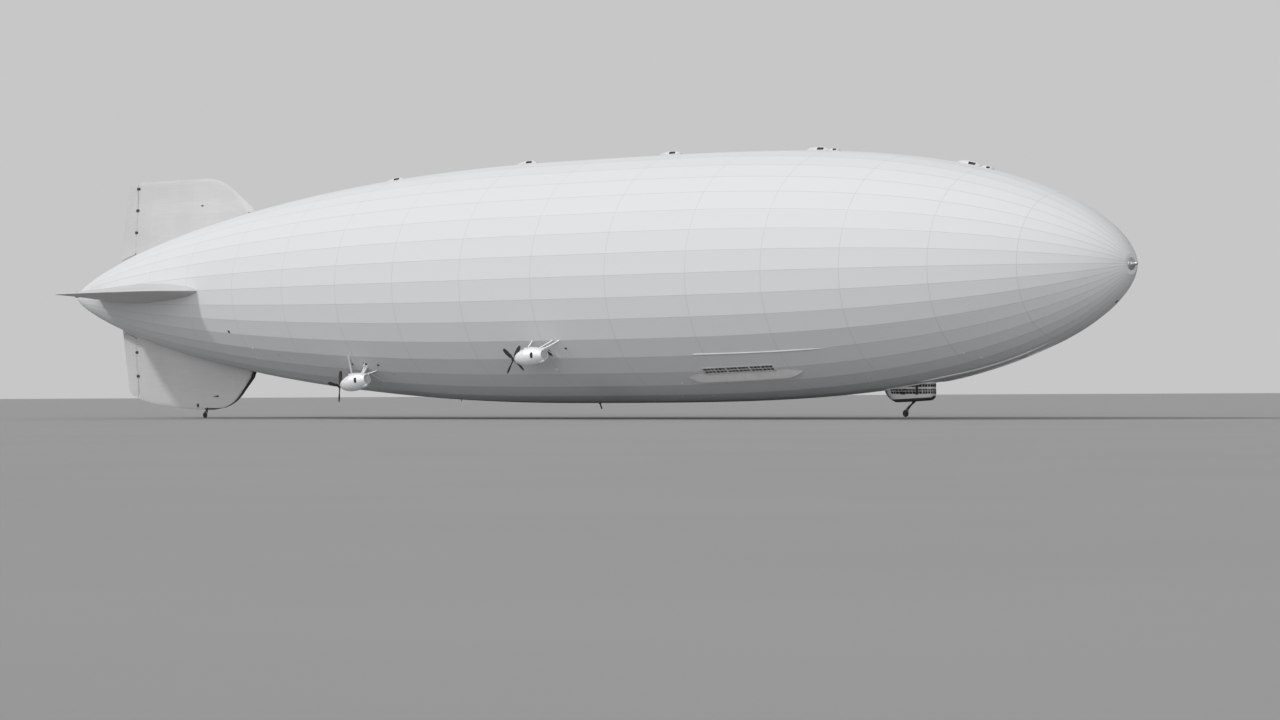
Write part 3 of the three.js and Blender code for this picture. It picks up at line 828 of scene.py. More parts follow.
def half_at_hinge(table, height):
    return max(0.05, half_at(table, HINGE_STATION, min(height, table[-1][0])))


def fin_form(name, table):
    """The whole fin with its flap, standing up along Z, as one closed solid"""
    rows = smooth_rows(table, 3)
    height, trailing, leading, half = rows[0]
    chord = leading - trailing
    one = [(trailing + share * chord, thick * half) for share, thick in smooth_rows(FIN_SECTION, 2)]
    ring = one + [(station, -thick) for station, thick in reversed(one[:-1])]
    form = outline(name, [at(station, y, height) for station, y in ring])
    rings_up(form, [
        (level * SHIP, x_at((aft + fore) / 2), fore - aft, thick) for level, aft, fore, thick in rows
    ])
    return form


def flap_region(name, forward, drop):
    """Everything behind a station and beyond the slanted root of the flap"""
    aft, top, wide = 9.5, 24, 5 * SHIP

    def low(station):
        return FLAP_ROOT["height"] + (station - FLAP_ROOT["station"]) * FLAP_ROOT["rise"] - drop

    return plate(name, [(aft, low(aft)), (forward, low(forward)), (forward, top), (aft, top)], wide)


def flap_nose(name, table, grow, low):
    """The round nose of a flap about its hinge"""
    heights = [low] + [row[0] for row in smooth_rows(table, 2) if row[0] > low] + [table[-1][0] + 0.3]
    rings = [(height * SHIP, half_at_hinge(table, height) * SHIP + grow) for height in heights]
    return place(lathe(name, rings, 24), shifted(x_at(HINGE_STATION), 0, 0) @ turned(-90, "Y"))


def rib_tapes(piece, stations, heights, sizes):
    """Cuts lines across a fin at these stations and heights, and turns them into tapes"""
    marks = [x_at(station) for station in stations]
    levels = [height * SHIP for height in heights]

    def on_rib(a, b):
        upright = any(abs(a.x - x) < 1e-4 and abs(b.x - x) < 1e-4 for x in marks)
        return upright or any(abs(a.z - z) < 1e-4 and abs(b.z - z) < 1e-4 for z in levels)

    with shaping(piece, "EDGE"):
        for x in marks:
            cut_across((x, 0, 0), (1, 0, 0))
        for z in levels:
            cut_across((0, 0, z), (0, 0, 1))
        pick_edges(piece, on_rib)
        tape(sizes.rib_wide, sizes.tape_proud, 1)


class AIRSHIP_OT_fins(AirshipOperator):
    """Model the four fins and the rudders and elevators behind them"""

    bl_idname = "airship.fins"
    bl_label = "Fins and flaps"

    def pair(self, label, table):
        """One fin and its flap, standing up along Z"""
        flap = with_finishes(fin_form(f"{label}_whole", table), "fin_fabric", "seam_tape")
        fin = copied(flap, f"{label}_fin", Matrix())
        boolean(fin, flap_region("aft_region", HINGE_STATION + FLAP_LIP, 0.1))
        boolean(fin, flap_nose("cove", table, 0.005, FLAP_NOSE_FROM - 0.05))
        nose = flap_nose("nose", table, 0, FLAP_NOSE_FROM)
        boolean(nose, flap, "INTERSECT", keep=True)
        boolean(flap, flap_region("flap_region", HINGE_STATION, 0), "INTERSECT")
        boolean(flap, nose, "UNION")
        rib_tapes(fin, FIN_RIBS, [row[0] for row in table[2:5]], self.sizes)
        rib_tapes(flap, [], FLAP_RIBS, self.sizes)
        return fin, flap

    def execute(self, context):
        masters = {id(SIDE_FIN): self.pair("side", SIDE_FIN), id(TOP_FIN): self.pair("top", TOP_FIN)}
        for name, moving, turn, table in FINS:
            for master, label, node, body in zip(
                masters[id(table)], (f"{name}_fin", f"{name}_{moving}"),
                (f"fin_{name}", f"{moving}_{name}"), ("airship", f"{moving}_{name}"),
            ):
                copy = copied(master, label, turned(turn, "X"))
                finished(copy, replaces=[node], smooth=25, body=body)
        for pair in masters.values():
            remove(*pair)
        return {"FINISHED"}


# Fittings on the fins: heights of the hinges, then station, height, length, width and finish of the rest
FIN_FITTINGS = {
    "upper": (
        [20.3, 16.2, 12], [(36.9, 16.3, 0.5, 0.5, "dark_metal"), (49.2, 14.6, 0.5, 0.35, "dark_metal")],
    ),
    "lower": (
        [10.7, 15.2],
        [(34.7, 20.55, 0.55, 1.05, "dark_metal"), (39.9, 19.1, 1.5, 0.32, "dark_metal"),
         (36.3, 20.7, 0.35, 0.35, "seam_tape")],
    ),
    "starboard": ([10.7, 15.2], []),
    "port": ([10.7, 15.2], []),
}
# Dark band along the lower fin's leading and bottom edge, standing a little proud
DARK_EDGE_BAND = {"share": 0.985, "lowest": 12, "bottom": 21.3, "from": 36.5}


class AIRSHIP_OT_fin_fittings(AirshipOperator):
    """Model the hinges, doors and vents of the fins and the dark band on the lower fin's edge"""

    bl_idname = "airship.fin_fittings"
    bl_label = "Fin fittings"

    def hinge(self, table, height, side):
        """A hinge housing ahead of the hinge line, on a foot that stands on the fin"""
        half = half_at_hinge(table, height - 0.3) + 0.02
        arm = rounded_slab("arm", 0.09, 0.05, 0.012, 0.02)
        foot = rounded_slab("foot", 0.03, 0.034, 0.03, 0.008)
        return [
            place(arm, wall_frame(side, HINGE_STATION + 0.46, half, height)),
            place(foot, wall_frame(side, HINGE_STATION + 0.7, half - 0.24, height)),
        ]

    def mark(self, table, side, station, height, long, wide):
        """A door or vent let into the side of a fin"""
        least, thick, proud = min(long, wide) * SHIP, 0.012, 0.003
        slab = rounded_slab("mark", long * SHIP, wide * SHIP, thick, 0.25 * least, 0.002, 0.12 * least)
        stand = wall_frame(side, station, half_at(table, station, height), height)
        return place(slab, stand @ shifted(0, 0, proud - thick))

    def execute(self, context):
        for name, _, turn, table in FINS:
            heights, marks = FIN_FITTINGS[name]
            made = {"dark_metal": []}
            for side, _ in SIDES:
                for height in heights:
                    made["dark_metal"] += self.hinge(table, height, side)
                for *mark, finish in marks:
                    made.setdefault(finish, []).append(self.mark(table, side, *mark))
            finished_trim(f"{name}_fin", made, turned(turn, "X"))
        self.dark_edge_band()
        return {"FINISHED"}

    def dark_edge_band(self):
        """Darkens and thickens the lower fin's leading and bottom edge"""
        fin = with_finishes(bpy.data.objects["lower_fin"], "dark_rubber")

        def on_edge(centre, normal):
            station, height = centre.x / SHIP + ORIGIN, -centre.z / SHIP
            if height > DARK_EDGE_BAND["bottom"]:
                return station > DARK_EDGE_BAND["from"]
            if height < DARK_EDGE_BAND["lowest"]:
                return False
            trailing, leading, _ = fin_row(SIDE_FIN, height)
            return station > trailing + DARK_EDGE_BAND["share"] * (leading - trailing)

        with shaping(fin, "FACE"):
            pick_faces(fin, on_edge)
            give_slot(2)
            swell(0.0012)


# Trim on the hull's skin, by finish: station, degrees below the horizontal, length, girth, height
HATCHES = {
    "seam_tape": [(99.5, 51.5, 0.5, 0.4, 0.03), (70.5, 43.5, 0.5, 0.5, 0.03), (70.5, 51.5, 0.4, 0.4, 0.03)],
    "dark_metal": [
        (140.6, 36.9, 0.66, 1.45, 0.03), (93.8, 44.9, 0.8, 0.6, 0.03), (144.7, 34.3, 0.45, 0.32, 0.05),
        (97.1, 45.4, 0.5, 0.35, 0.05), (90.2, 45.8, 0.45, 0.3, 0.05), (58.6, 28.7, 0.5, 0.5, 0.04),
    ],
    "silver_paint": [
        (139.9, 47, 0.35, 0.35, 0.05), (143.5, 38.8, 0.35, 0.35, 0.05), (164.5, 58.5, 0.35, 0.35, 0.05),
        (186.6, 63.8, 0.35, 0.35, 0.05), (160.3, 73.2, 0.35, 0.35, 0.05), (166.9, 73.6, 0.35, 0.35, 0.05),
        (200.5, 65.6, 0.35, 0.35, 0.05), (219, 59.5, 0.35, 0.35, 0.05), (220.5, 69.1, 0.4, 0.4, 0.05),
        (63.6, 40.2, 0.4, 0.4, 0.04), (62.6, 49.2, 0.35, 0.6, 0.04), (73.5, 45.7, 0.35, 0.35, 0.04),
    ],
}
KEEL_HATCHES = {
    "dark_metal": [(223.9, 85, 1.6, 0.9, 0.04), (240.8, 75, 0.6, 0.4, 0.04), (150, 85, 1.8, 1, 0.03)],
    "seam_tape": [
        (112, 85, 1.2, 0.8, 0.03), (126.5, 85, 1.2, 0.8, 0.03), (171.8, 85, 1.5, 0.9, 0.05),
        (56, 85, 1.2, 0.8, 0.03), (83, 85, 1.2, 0.8, 0.03),
    ],
}

# Edges of the keel's fairing, from the control car to the bow: station, degrees below
KEEL_EDGE = [
    (206.2, 81.4), (210.6, 81.2), (213, 81.8), (215.6, 83.2), (218.5, 84.2), (222, 84.8), (231, 85),
]


def half_round(wide, high, segments=6):
    """Section of a ridge: width round the girth and height over the skin"""
    angles = [math.pi * step / segments for step in range(segments + 1)]
    ring = [(wide / 2 * math.cos(angle), high * math.sin(angle)) for angle in angles]
    return [(wide / 2, -high * 0.6), *ring, (-wide / 2, -high * 0.6)]


def wedge(wide, high):
    """Section of a fairing that leaves the skin at its upper edge and ends in a step below"""
    ring = [
        (0.5, -0.6), (0.5, 0), (0.25, 0.27), (-0.2, 0.76), (-0.38, 0.95), (-0.45, 0.97), (-0.5, 0.85),
        (-0.5, -0.6),
    ]
    return [(y * wide, z * high) for y, z in ring]


def tapered_bulge(name, line, section):
    """A low ridge along points on the skin, each with its share of the full section"""
    piece = outline(name, [(0, y, z) for y, z in section])
    with shaping(piece):
        fill()
        for _ in line[1:]:
            extrude((1, 0, 0))
        close_normals()
    for vert in piece.data.vertices:
        stand, share = line[round(vert.co.x)]
        share = max(share, 0.02)
        vert.co = stand @ Vector((0, vert.co.y * share, vert.co.z * share))
    return piece


def skin_line(points, side, ends, steps=40):
    """Frames along the skin through the points, each with its share of the ridge's size"""
    first, last = points[0][0], points[-1][0]
    line = []
    for step in range(steps + 1):
        share = step / steps
        station = first + share * (last - first)
        rise = min(1, share / ends[0], (1 - share) / ends[1])
        line.append((skin_frame(station, between(points, station, 1), side), math.sin(rise * math.pi / 2)))
    return line


# Ridges on both sides of the hull: name, finish, smoothing angle, line as station and degrees below,
# share of the line over which each end rises, section
RIDGES = [
    # Painted highlight in part: the ledges wear paler paint than the cloth, on top of the light that their
    # shape catches
    ("side_ledges", "car_paint", 30, [(170.9, 39.3), (199, 40.3)], (0.03, 0.3), half_round(0.03, 0.012)),
    # Painted light in part: the fairings wear paler paint than the cloth, on top of the light that their
    # upturned faces catch
    ("promenade_fairings", "car_paint", 20, [(167, 54.3), (190.5, 54)], (0.12, 0.15), wedge(0.17, 0.06)),
    ("keel_edges", "silver_paint", 30, smooth_rows(KEEL_EDGE, 5), (0.1, 0.3), half_round(0.032, 0.02)),
]


class AIRSHIP_OT_hull_trim(AirshipOperator):
    """Model the hatches, vents, ledges, fairings and keel edges on the hull's skin"""

    bl_idname = "airship.hull_trim"
    bl_label = "Hull trim"

    def hatches(self, rows, sides, label):
        made = {}
        root, corner, rim = 0.1 * SHIP, 0.12 * SHIP, 0.07 * SHIP
        for finish, places in rows.items():
            for station, below, *size in places:
                long, wide, high = (value * SHIP for value in size)
                for side in sides:
                    slab = rounded_slab("hatch", long, wide, high + root, corner, high / 2, rim)
                    place(slab, skin_frame(station, below, side) @ shifted(0, 0, -root))
                    made.setdefault(finish, []).append(slab)
        finished_trim(label, made)

    def drain(self):
        """A slanted pipe under the belly, with a flange at its top"""
        station, lean = 136.6, -25
        pipe = lathe("belly_drain", [
            (-0.03, 0.012), (0.002, 0.012), (0.004, 0.022), (0.008, 0.022), (0.01, 0.012), (0.095, 0.011),
            (0.1, 0.013), (0.104, 0.012), (0.104, 0.008), (0.06, 0.007),
        ], 20)
        root = Matrix.Translation(at(station, 0, -hull_radius(station)))
        return place(pipe, root @ turned(lean, "Y") @ turned(90, "Y"))

    def execute(self, context):
        self.hatches(HATCHES, (-1, 1), "side_hatches")
        self.hatches(KEEL_HATCHES, (1,), "keel_hatches")
        for name, finish, smooth, points, ends, section in RIDGES:
            pair = []
            for side, _ in SIDES:
                mirrored = [(-side * y, z) for y, z in section]
                pair.append(tapered_bulge("ridge", skin_line(points, side, ends), mirrored))
            finished(joined(name, pair), finish, smooth=smooth)
        finished(self.drain(), "dark_metal", smooth=35)
        return {"FINISHED"}


# Promenade windows: span of stations and of degrees below the horizontal
PROMENADE = {"from": 171.4, "to": 185.6, "upper": 47.9, "lower": 51.3, "rim": 0.1, "columns": 18}


def promenade_stand(side):
    """Frame in the middle of a window band, with the band's length and height"""
    middle = (PROMENADE["from"] + PROMENADE["to"]) / 2
    below = (PROMENADE["upper"] + PROMENADE["lower"]) / 2
    high = math.radians(PROMENADE["lower"] - PROMENADE["upper"]) * hull_radius(middle)
    long = PROMENADE["to"] - PROMENADE["from"]
    return skin_frame(middle, below, side), long * SHIP, high * SHIP


def promenade_opening(side):
    """The box that the hull's cover leaves free for a window band"""
    stand, long, high = promenade_stand(side)
    rim = 2 * PROMENADE["rim"] * SHIP - 0.004
    return place(box("opening", (long + rim, high + rim, 0.08)), stand)


class AIRSHIP_OT_promenade(AirshipOperator):
    """Model the slanted bands of passenger windows"""

    bl_idname = "airship.promenade"
    bl_label = "Promenade windows"

    def bar(self, long, wide, thick, x, y):
        """A bar with rounded front edges, on the face of the band"""
        bar = box("bar", (long, wide, thick), (x, y, thick / 2 - 0.001))
        rounded(bar, 0.0012, 2, lambda a, b: min(a.z, b.z) > 0)
        return with_finishes(bar, "seam_tape")

    def band(self):
        """One band in its own plane: two rows of panes, in double groups of three columns"""
        _, long, high = promenade_stand(1)
        rim, columns = PROMENADE["rim"] * SHIP, PROMENADE["columns"]
        pitch, deep, pane_deep = long / columns, 0.03, 0.009
        band = box("band", (long + 2 * rim, high + 2 * rim, deep), (0, 0, -deep / 2))
        with_finishes(band, "seam_tape", "window_glass")
        with shaping(band, "FACE"):
            for column in range(columns + 1):
                cut_across((column * pitch - long / 2, 0, 0), (1, 0, 0))
            for row in (-1, 0, 1):
                cut_across((0, row * high / 2, 0), (0, 1, 0))
            pick_faces(band, lambda centre, normal: normal.z > 0.9
                       and abs(centre.x) < long / 2 and abs(centre.y) < high / 2)
            bpy.ops.mesh.inset(thickness=self.sizes.frame_wide / 3, use_individual=True)
            extrude((0, 0, -pane_deep))
            give_slot(1)
        edge_wide = rim * 1.1
        bars = [self.bar(long + 2 * rim, 0.008, 0.006, 0, 0)]
        for edge in (-1, 1):
            bars.append(self.bar(long + 2 * rim, edge_wide, 0.006, 0, edge * (high + rim) / 2))
            bars.append(self.bar(edge_wide, high, 0.006, edge * (long + rim) / 2, 0))
        for group in range(1, 6):
            wide = 0.023 if group % 2 else 0.04
            bars.append(self.bar(wide, high, 0.005, 3 * group * pitch - long / 2, 0))
        return joined("promenade_band", [*bars, band])

    def execute(self, context):
        band = self.band()
        for side, name in SIDES:
            stand = promenade_stand(side)[0] @ shifted(0, 0, 0.003)
            copy = copied(band, f"{name}_promenade", stand)
            finished(copy, replaces=[f"promenade_windows_{name}"])
        remove(band)
        return {"FINISHED"}


class AIRSHIP_OT_nose(AirshipOperator):
    """Model the mooring cone and spindle at the nose"""

    bl_idname = "airship.nose"
    bl_label = "Mooring cone"

    def execute(self, context):
        rings = [(x_at(station), radius * SHIP) for station, radius in smooth_rows(SPINDLE, 3)]
        spindle = with_finishes(lathe("mooring_cone", rings, 32), "steel")
        middle = (x_at(244.66), 0, 0.078)
        ring = bolts(12, 0.006, 0.012, 0.0012, middle, lambda a, b: min(a.x, b.x) > 0, segments=2)
        piece = joined("mooring_cone", [*ring, spindle])
        finished(piece, replaces=["mooring_spindle"], smooth=35)
        return {"FINISHED"}


# Air hoods: stations of the large ones, then of the small ones ahead of the foremost two
HOODS = [88.4, 120.9, 153.7, 185.3, 215.4]
SMALL_HOODS = {4: 188.1, 5: 218.4}
HOOD = {"ahead": 1.5, "behind": 3.2, "half_width": 0.75, "height": 0.62}
MOUTH = {"long": 1.3, "high": 0.36, "rise": 0.28}


class AIRSHIP_OT_air_hoods(AirshipOperator):
    """Model the row of air hoods along the top of the hull"""

    bl_idname = "airship.air_hoods"
    bl_label = "Air hoods"

    def hood(self):
        """A long low hump, rounded in front and drawn out behind, with a mouth in each side, its inside
        dark as painted shade
        """
        hood = start("uv_sphere", "hood", segments=32, ring_count=20, radius=1, rotation=LAID)
        place(hood, Matrix.Diagonal((1, HOOD["half_width"] * SHIP, HOOD["height"] * SHIP, 1)))
        with shaping(hood):
            for way, reach in ((1, HOOD["ahead"]), (-1, HOOD["behind"])):
                pick_verts(hood, lambda co: way * co.x > 0.001)
                resize((reach * SHIP, 1, 1), (0, 0, 0))
            cut_across((0, 0, -0.03), (0, 0, 1), clear_inner=True, use_fill=True)
        with_finishes(hood, "car_paint", "dark_metal")
        long, high, rise = (MOUTH[key] * SHIP for key in ("long", "high", "rise"))
        deep, out = 0.06, 0.075
        for side, _ in SIDES:
            mouth = box("mouth", (long, deep, high), (0, side * out, rise))
            boolean(hood, rounded(mouth, 0.012, 3, lambda a, b: abs(a.y - b.y) > 0.01))

        def in_mouth(centre, normal):
            if abs(abs(centre.y) - (out - deep / 2)) < 1e-4:
                return True
            inside = abs(centre.x) < long * 0.505 and abs(centre.z - rise) < high * 0.505
            return inside and 0.044 < abs(centre.y) < 0.072 and abs(normal.y) < 0.2

        # Painted shade: the inside of each mouth takes the dark metal
        with shaping(hood, "FACE"):
            pick_faces(hood, in_mouth)
            give_slot(1)
        return hood

    def stand(self, station):
        """Where a hood stands on the top of the hull, tipped to follow it"""
        here, ahead = (at(place_on, 0, hull_radius(place_on)) for place_on in (station, station + 1))
        slope = (ahead - here).normalized().z
        return Matrix.Translation(here) @ Matrix.Rotation(-math.asin(slope), 4, "Y")

    def execute(self, context):
        hood = self.hood()
        for number, station in enumerate(HOODS, 1):
            copy = copied(hood, f"top_air_hood_{number}", self.stand(station))
            if number in SMALL_HOODS:
                stand = self.stand(SMALL_HOODS[number]) @ Matrix.Diagonal((0.5, 0.8, 0.75, 1))
                copy = joined(f"top_air_hood_{number}", [copied(hood, "small_hood", stand), copy])
            finished(copy, replaces=[f"air_hood_{number}"], smooth=35)
        remove(hood)
        return {"FINISHED"}


# Engine cars: place of the propeller's hub, as station, width and height, the nose-up pitch and
# the angle of the first blade from upright, outwards
CARS = {
    "forward": {"place": (136.75, 21, -13.3), "pitch": 6, "clock": 52},
    "aft": {"place": (88.3, 14.45, -17.45), "pitch": 10, "clock": 76},
}
# Nacelle from its tail, outside and inside: distance ahead of the propeller, radius
NACELLE_OUT = [
    (0.42, 0.3), (0.9, 0.74), (1.8, 1.16), (3, 1.43), (4, 1.5), (5, 1.44), (6, 1.24), (6.6, 1.02),
    (6.95, 0.84),
]
NACELLE_IN = [
    (1.15, 0.72), (1.8, 1.05), (3, 1.33), (4, 1.4), (5, 1.34), (6, 1.14), (6.6, 0.92), (6.95, 0.72),
]
NACELLE_LIP = [(6.965, 0.835), (6.975, 0.815), (6.975, 0.75), (6.965, 0.73)]
NACELLE_BORE = 0.11
STUB = [(-0.02, 0.011), (0.024, 0.011), (0.028, 0.0125), (0.03, 0.0115), (0.03, 0.0085), (0, 0.0085)]
NACELLE_SEAMS = [0.18, 0.3, 0.5, 0.6]
NACELLE_STEPS = 40
WINDOW = {"at": 0.535, "long": 0.056, "high": 0.1, "rise": 0.01, "near": 0.055}
# Blade: reach from the axis, half chord, half thickness, twist in degrees
BLADE = [
    (0.12, 0.15, 0.14, 48), (0.4, 0.17, 0.13, 45), (0.9, 0.29, 0.1, 38), (1.9, 0.34, 0.07, 24),
    (2.7, 0.22, 0.05, 17), (2.95, 0.06, 0.03, 15),
]
SPINNER = [
    (-0.58, 0.02), (-0.56, 0.07), (-0.46, 0.15), (-0.3, 0.21), (-0.24, 0.27), (-0.2, 0.27), (-0.18, 0.2),
    (0.18, 0.2), (0.2, 0.27), (0.26, 0.27), (0.28, 0.16), (0.5, 0.13), (0.52, 0.1), (2.35, 0.1),
]
SPAR = {"reach": 1.95, "clock": 142}
# Struts: nacelle legs by along, clock angle, radius; hull legs by along, station, degrees below, radius
STRUTS = {
    "forward": {
        "spar": (1.4, 5.7),
        "nacelle": [(1.4, 118, 0.11), (2.6, 150, 0.11), (3.9, 118, 0.09), (5.7, 118, 0.11)],
        "hull": [
            (1.4, 137.9, 30, 0.12), (1.4, 138.6, 40, 0.1), (3.9, 142.4, 30, 0.09), (5.7, 143.9, 30, 0.12),
            (5.7, 142.2, 40, 0.1),
        ],
    },
    "aft": {
        "spar": (1.8, 6.2),
        "nacelle": [(1.8, 100, 0.13), (3, 150, 0.11), (4.4, 112, 0.11), (6.2, 130, 0.1)],
        "hull": [
            (1.8, 90.6, 40, 0.13), (1.8, 90.2, 60, 0.1), (4.4, 94.2, 43, 0.1), (5.2, 93.7, 46.5, 0.2),
            (6.2, 95.6, 49.7, 0.09), (6.2, 94.4, 60, 0.1),
        ],
    },
}
STRUT_INTO_NACELLE = 0.9
GANGWAY = {"radius": 0.2, "reach": 1.3, "clock": 118}


def car_stand(row, side):
    """Frame of an engine car: X ahead along its axis, with the propeller's hub at the origin"""
    station, out, height = CARS[row]["place"]
    return Matrix.Translation(at(station, side * out, height)) @ turned(-CARS[row]["pitch"], "Y")


def each_car():
    """Row, side, name and frame of every engine car"""
    for row in CARS:
        for side, name in SIDES:
            yield row, side, f"{row}_{name}", car_stand(row, side)


def near_car(row, side, along, reach, clock):
    angle = math.radians(clock)
    local = Vector((along, side * reach * math.cos(angle), reach * math.sin(angle))) * SHIP
    return car_stand(row, side) @ local


def nacelle_radius(along):
    return between(NACELLE_OUT, along, 1) * SHIP


def streamlined_bar(name, steps=10):
    """A bar of unit height along Z, unit chord along X and unit thickness along Y, nose at +X"""
    ring = []
    for step in range(2 * steps):
        angle = math.pi * step / steps
        x = 0.5 * math.cos(angle)
        ring.append((x, 0.5 * math.sin(angle) * (1 if x > 0 else 1 - 0.55 * (2 * x) ** 2), 0))
    bar = outline(name, ring)
    rings_up(bar, [(height, 0, 1, 1) for height in (0, 0.02, 0.98, 1)])
    return bar


def upright(a, b, ahead):
    """Directions from a to b, and across it as near as can be to ahead"""
    up = (b - a).normalized()
    return up, (ahead - ahead.dot(up) * up).normalized()


def stretch_bar(bar, a, b, chord, thick, ahead):
    """A copy of the unit bar between two points, with its chord as near as it can be to ahead"""
    up, nose = upright(a, b, ahead)
    return copied(bar, "bar", framed((nose * chord, up.cross(nose) * thick, b - a), a))


class AIRSHIP_OT_nacelles(AirshipOperator):
    """Model the shells of the engine cars with their windows, scoops, louvres and exhaust stubs"""

    bl_idname = "airship.nacelles"
    bl_label = "Nacelles"

    def slot(self, name, grow):
        """A round-cornered block through both sides of a nacelle, larger than its window all round"""
        long, high = WINDOW["long"] + 2 * grow, WINDOW["high"] + 2 * grow
        block = box(name, (long, 0.4, high), (WINDOW["at"], 0, WINDOW["rise"]))
        return rounded(block, long * 0.3, 5, lambda a, b: abs(a.y - b.y) > 0.3)

    def window_ring(self, name, outer, inner):
        """A band round the nacelle where the windows are, between two distances from its skin"""
        out = scaled(smooth_rows(NACELLE_OUT, 4))
        near = [(x, r) for x, r in out if abs(x - WINDOW["at"]) < WINDOW["near"]]
        band = [(x, r + outer) for x, r in near] + [(x, r + inner) for x, r in reversed(near)]
        return lathe(name, [*band, band[0]], NACELLE_STEPS, closed=True)

    def shell(self):
        out = scaled(smooth_rows(NACELLE_OUT, 4))
        inside = scaled(smooth_rows(NACELLE_IN, 3))
        bore = NACELLE_BORE * SHIP
        ends = [(inside[0][0], bore), (out[0][0], bore), out[0]]
        rings = [*out, *scaled(NACELLE_LIP), *reversed(inside), *ends]
        shell = lathe("nacelle", rings, NACELLE_STEPS, closed=True)
        with_finishes(shell, "silver_paint", "dark_metal")

        def on_seam(a, b):
            level = any(abs(a.x - x) < 1e-4 and abs(b.x - x) < 1e-4 for x in NACELLE_SEAMS)
            return level and a.yz.length > between(out, a.x, 1) - 0.002

        with shaping(shell, "EDGE"):
            pick_edges(shell, on_seam)
            tape(0.006, 0.0006)
            # Painted shade: the faces inside the shell take the dark metal
            pick_faces(shell, lambda centre, normal: 0.12 < centre.x < 0.69
                       and centre.yz.length < between(out, centre.x, 1) - 0.004)
            give_slot(1)
        boolean(shell, self.slot("window", 0))
        return shell

    def details(self):
        """A roof walkway, louvres, exhaust stubs and the scoop under the nose"""
        made = []
        for along, long, wide in ((3.6, 1.9, 0.5), (2.2, 0.7, 0.4)):
            slab = rounded_slab("walk", long * SHIP, wide * SHIP, 0.02, 0.008, 0.002, 0.004)
            made.append(place(slab, shifted(along * SHIP, 0, nacelle_radius(along) - 0.014)))
        for side, _ in SIDES:
            for step in range(6):
                along = 2.1 + 0.26 * step
                louvre = box("louvre", (0.012, 0.05, 0.006))
                rounded(louvre, 0.0022, 2, lambda a, b: abs(a.y - b.y) > 0.01)
                stand = turned(side * 62, "X") @ shifted(along * SHIP, 0, nacelle_radius(along))
                made.append(place(louvre, stand @ turned(-24, "Y")))
            for step in range(3):
                along = 3.4 + 0.42 * step
                pipe = lathe("stub", STUB, 14)
                stand = turned(side * 24, "X") @ shifted(along * SHIP, 0, nacelle_radius(along) - 0.004)
                made.append(place(pipe, stand @ turned(-125, "Y")))
        scoop = start("uv_sphere", "scoop", segments=20, ring_count=12, radius=1, rotation=LAID)
        place(scoop, shifted(0.585, 0, -0.098) @ Matrix.Diagonal((0.11, 0.05, 0.036, 1)))
        with shaping(scoop, "FACE"):
            cut_across((0.665, 0, 0), (1, 0, 0.25), clear_outer=True, use_fill=True)
            pick_faces(scoop, lambda centre, normal: normal.x > 0.9)
            bpy.ops.mesh.inset(thickness=0.004)
            extrude((-0.05, 0, 0))
        return joined("car_details", [*made, scoop])

    def execute(self, context):
        shell, details = self.shell(), self.details()
        rim = self.window_ring("rim", 0.0022, -0.006)
        boolean(rim, self.slot("rim_outer", 0.006), "INTERSECT")
        boolean(rim, self.slot("rim_inner", -0.002))
        pane = self.window_ring("pane", -0.004, -0.007)
        boolean(pane, self.slot("pane_edge", 0.004), "INTERSECT")
        for _, _, label, stand in each_car():
            nacelle = copied(shell, f"{label}_nacelle", stand)
            finished(nacelle, replaces=[f"nacelle_{label}"])
            finished(copied(rim, f"{label}_window_rims", stand), "silver_paint")
            vents = copied(details, f"{label}_nacelle_vents", stand)
            finished(vents, "silver_paint", smooth=35)
            panes = copied(pane, f"{label}_window_panes", stand)
            finished(panes, "window_glass", smooth=35)
        remove(shell, rim, details, pane)
        return {"FINISHED"}


class AIRSHIP_OT_radiators(AirshipOperator):
    """Model the closed shutters in the noses of the engine cars"""

    bl_idname = "airship.radiators"
    bl_label = "Radiators"

    def execute(self, context):
        middle, bore, pitch = 0.684, 0.077, 0.0115
        parts = [lathe("core", [
            (0.654, 0.0885), (0.658, 0.0895), (0.664, 0.0895), (0.667, 0.0875), (0.667, 0.078),
            (0.661, 0.076),
        ], NACELLE_STEPS)]
        for step in range(-6, 7):
            offset = step * pitch
            slat = box("slat", (0.0125, 2 * math.sqrt(bore**2 - offset**2), 0.0018))
            rounded(slat, 0.0006, 1, lambda a, b: abs(a.y - b.y) > 0.01)
            parts.append(place(slat, shifted(middle, 0, offset) @ turned(68, "Y")))
        for y in (-0.04, 0, 0.04):
            high = 2 * math.sqrt((bore + 0.001)**2 - y**2)
            post = {"vertices": 10, "radius": 0.0022, "depth": high, "location": (middle + 0.005, y, 0)}
            parts.append(start("cylinder", "post", **post))
        radiator = joined("radiator", parts)
        for _, _, label, stand in each_car():
            copy = copied(radiator, f"{label}_radiator", stand)
            finished(copy, "radiator_paint", [f"radiator_{label}"])
        remove(radiator)
        return {"FINISHED"}


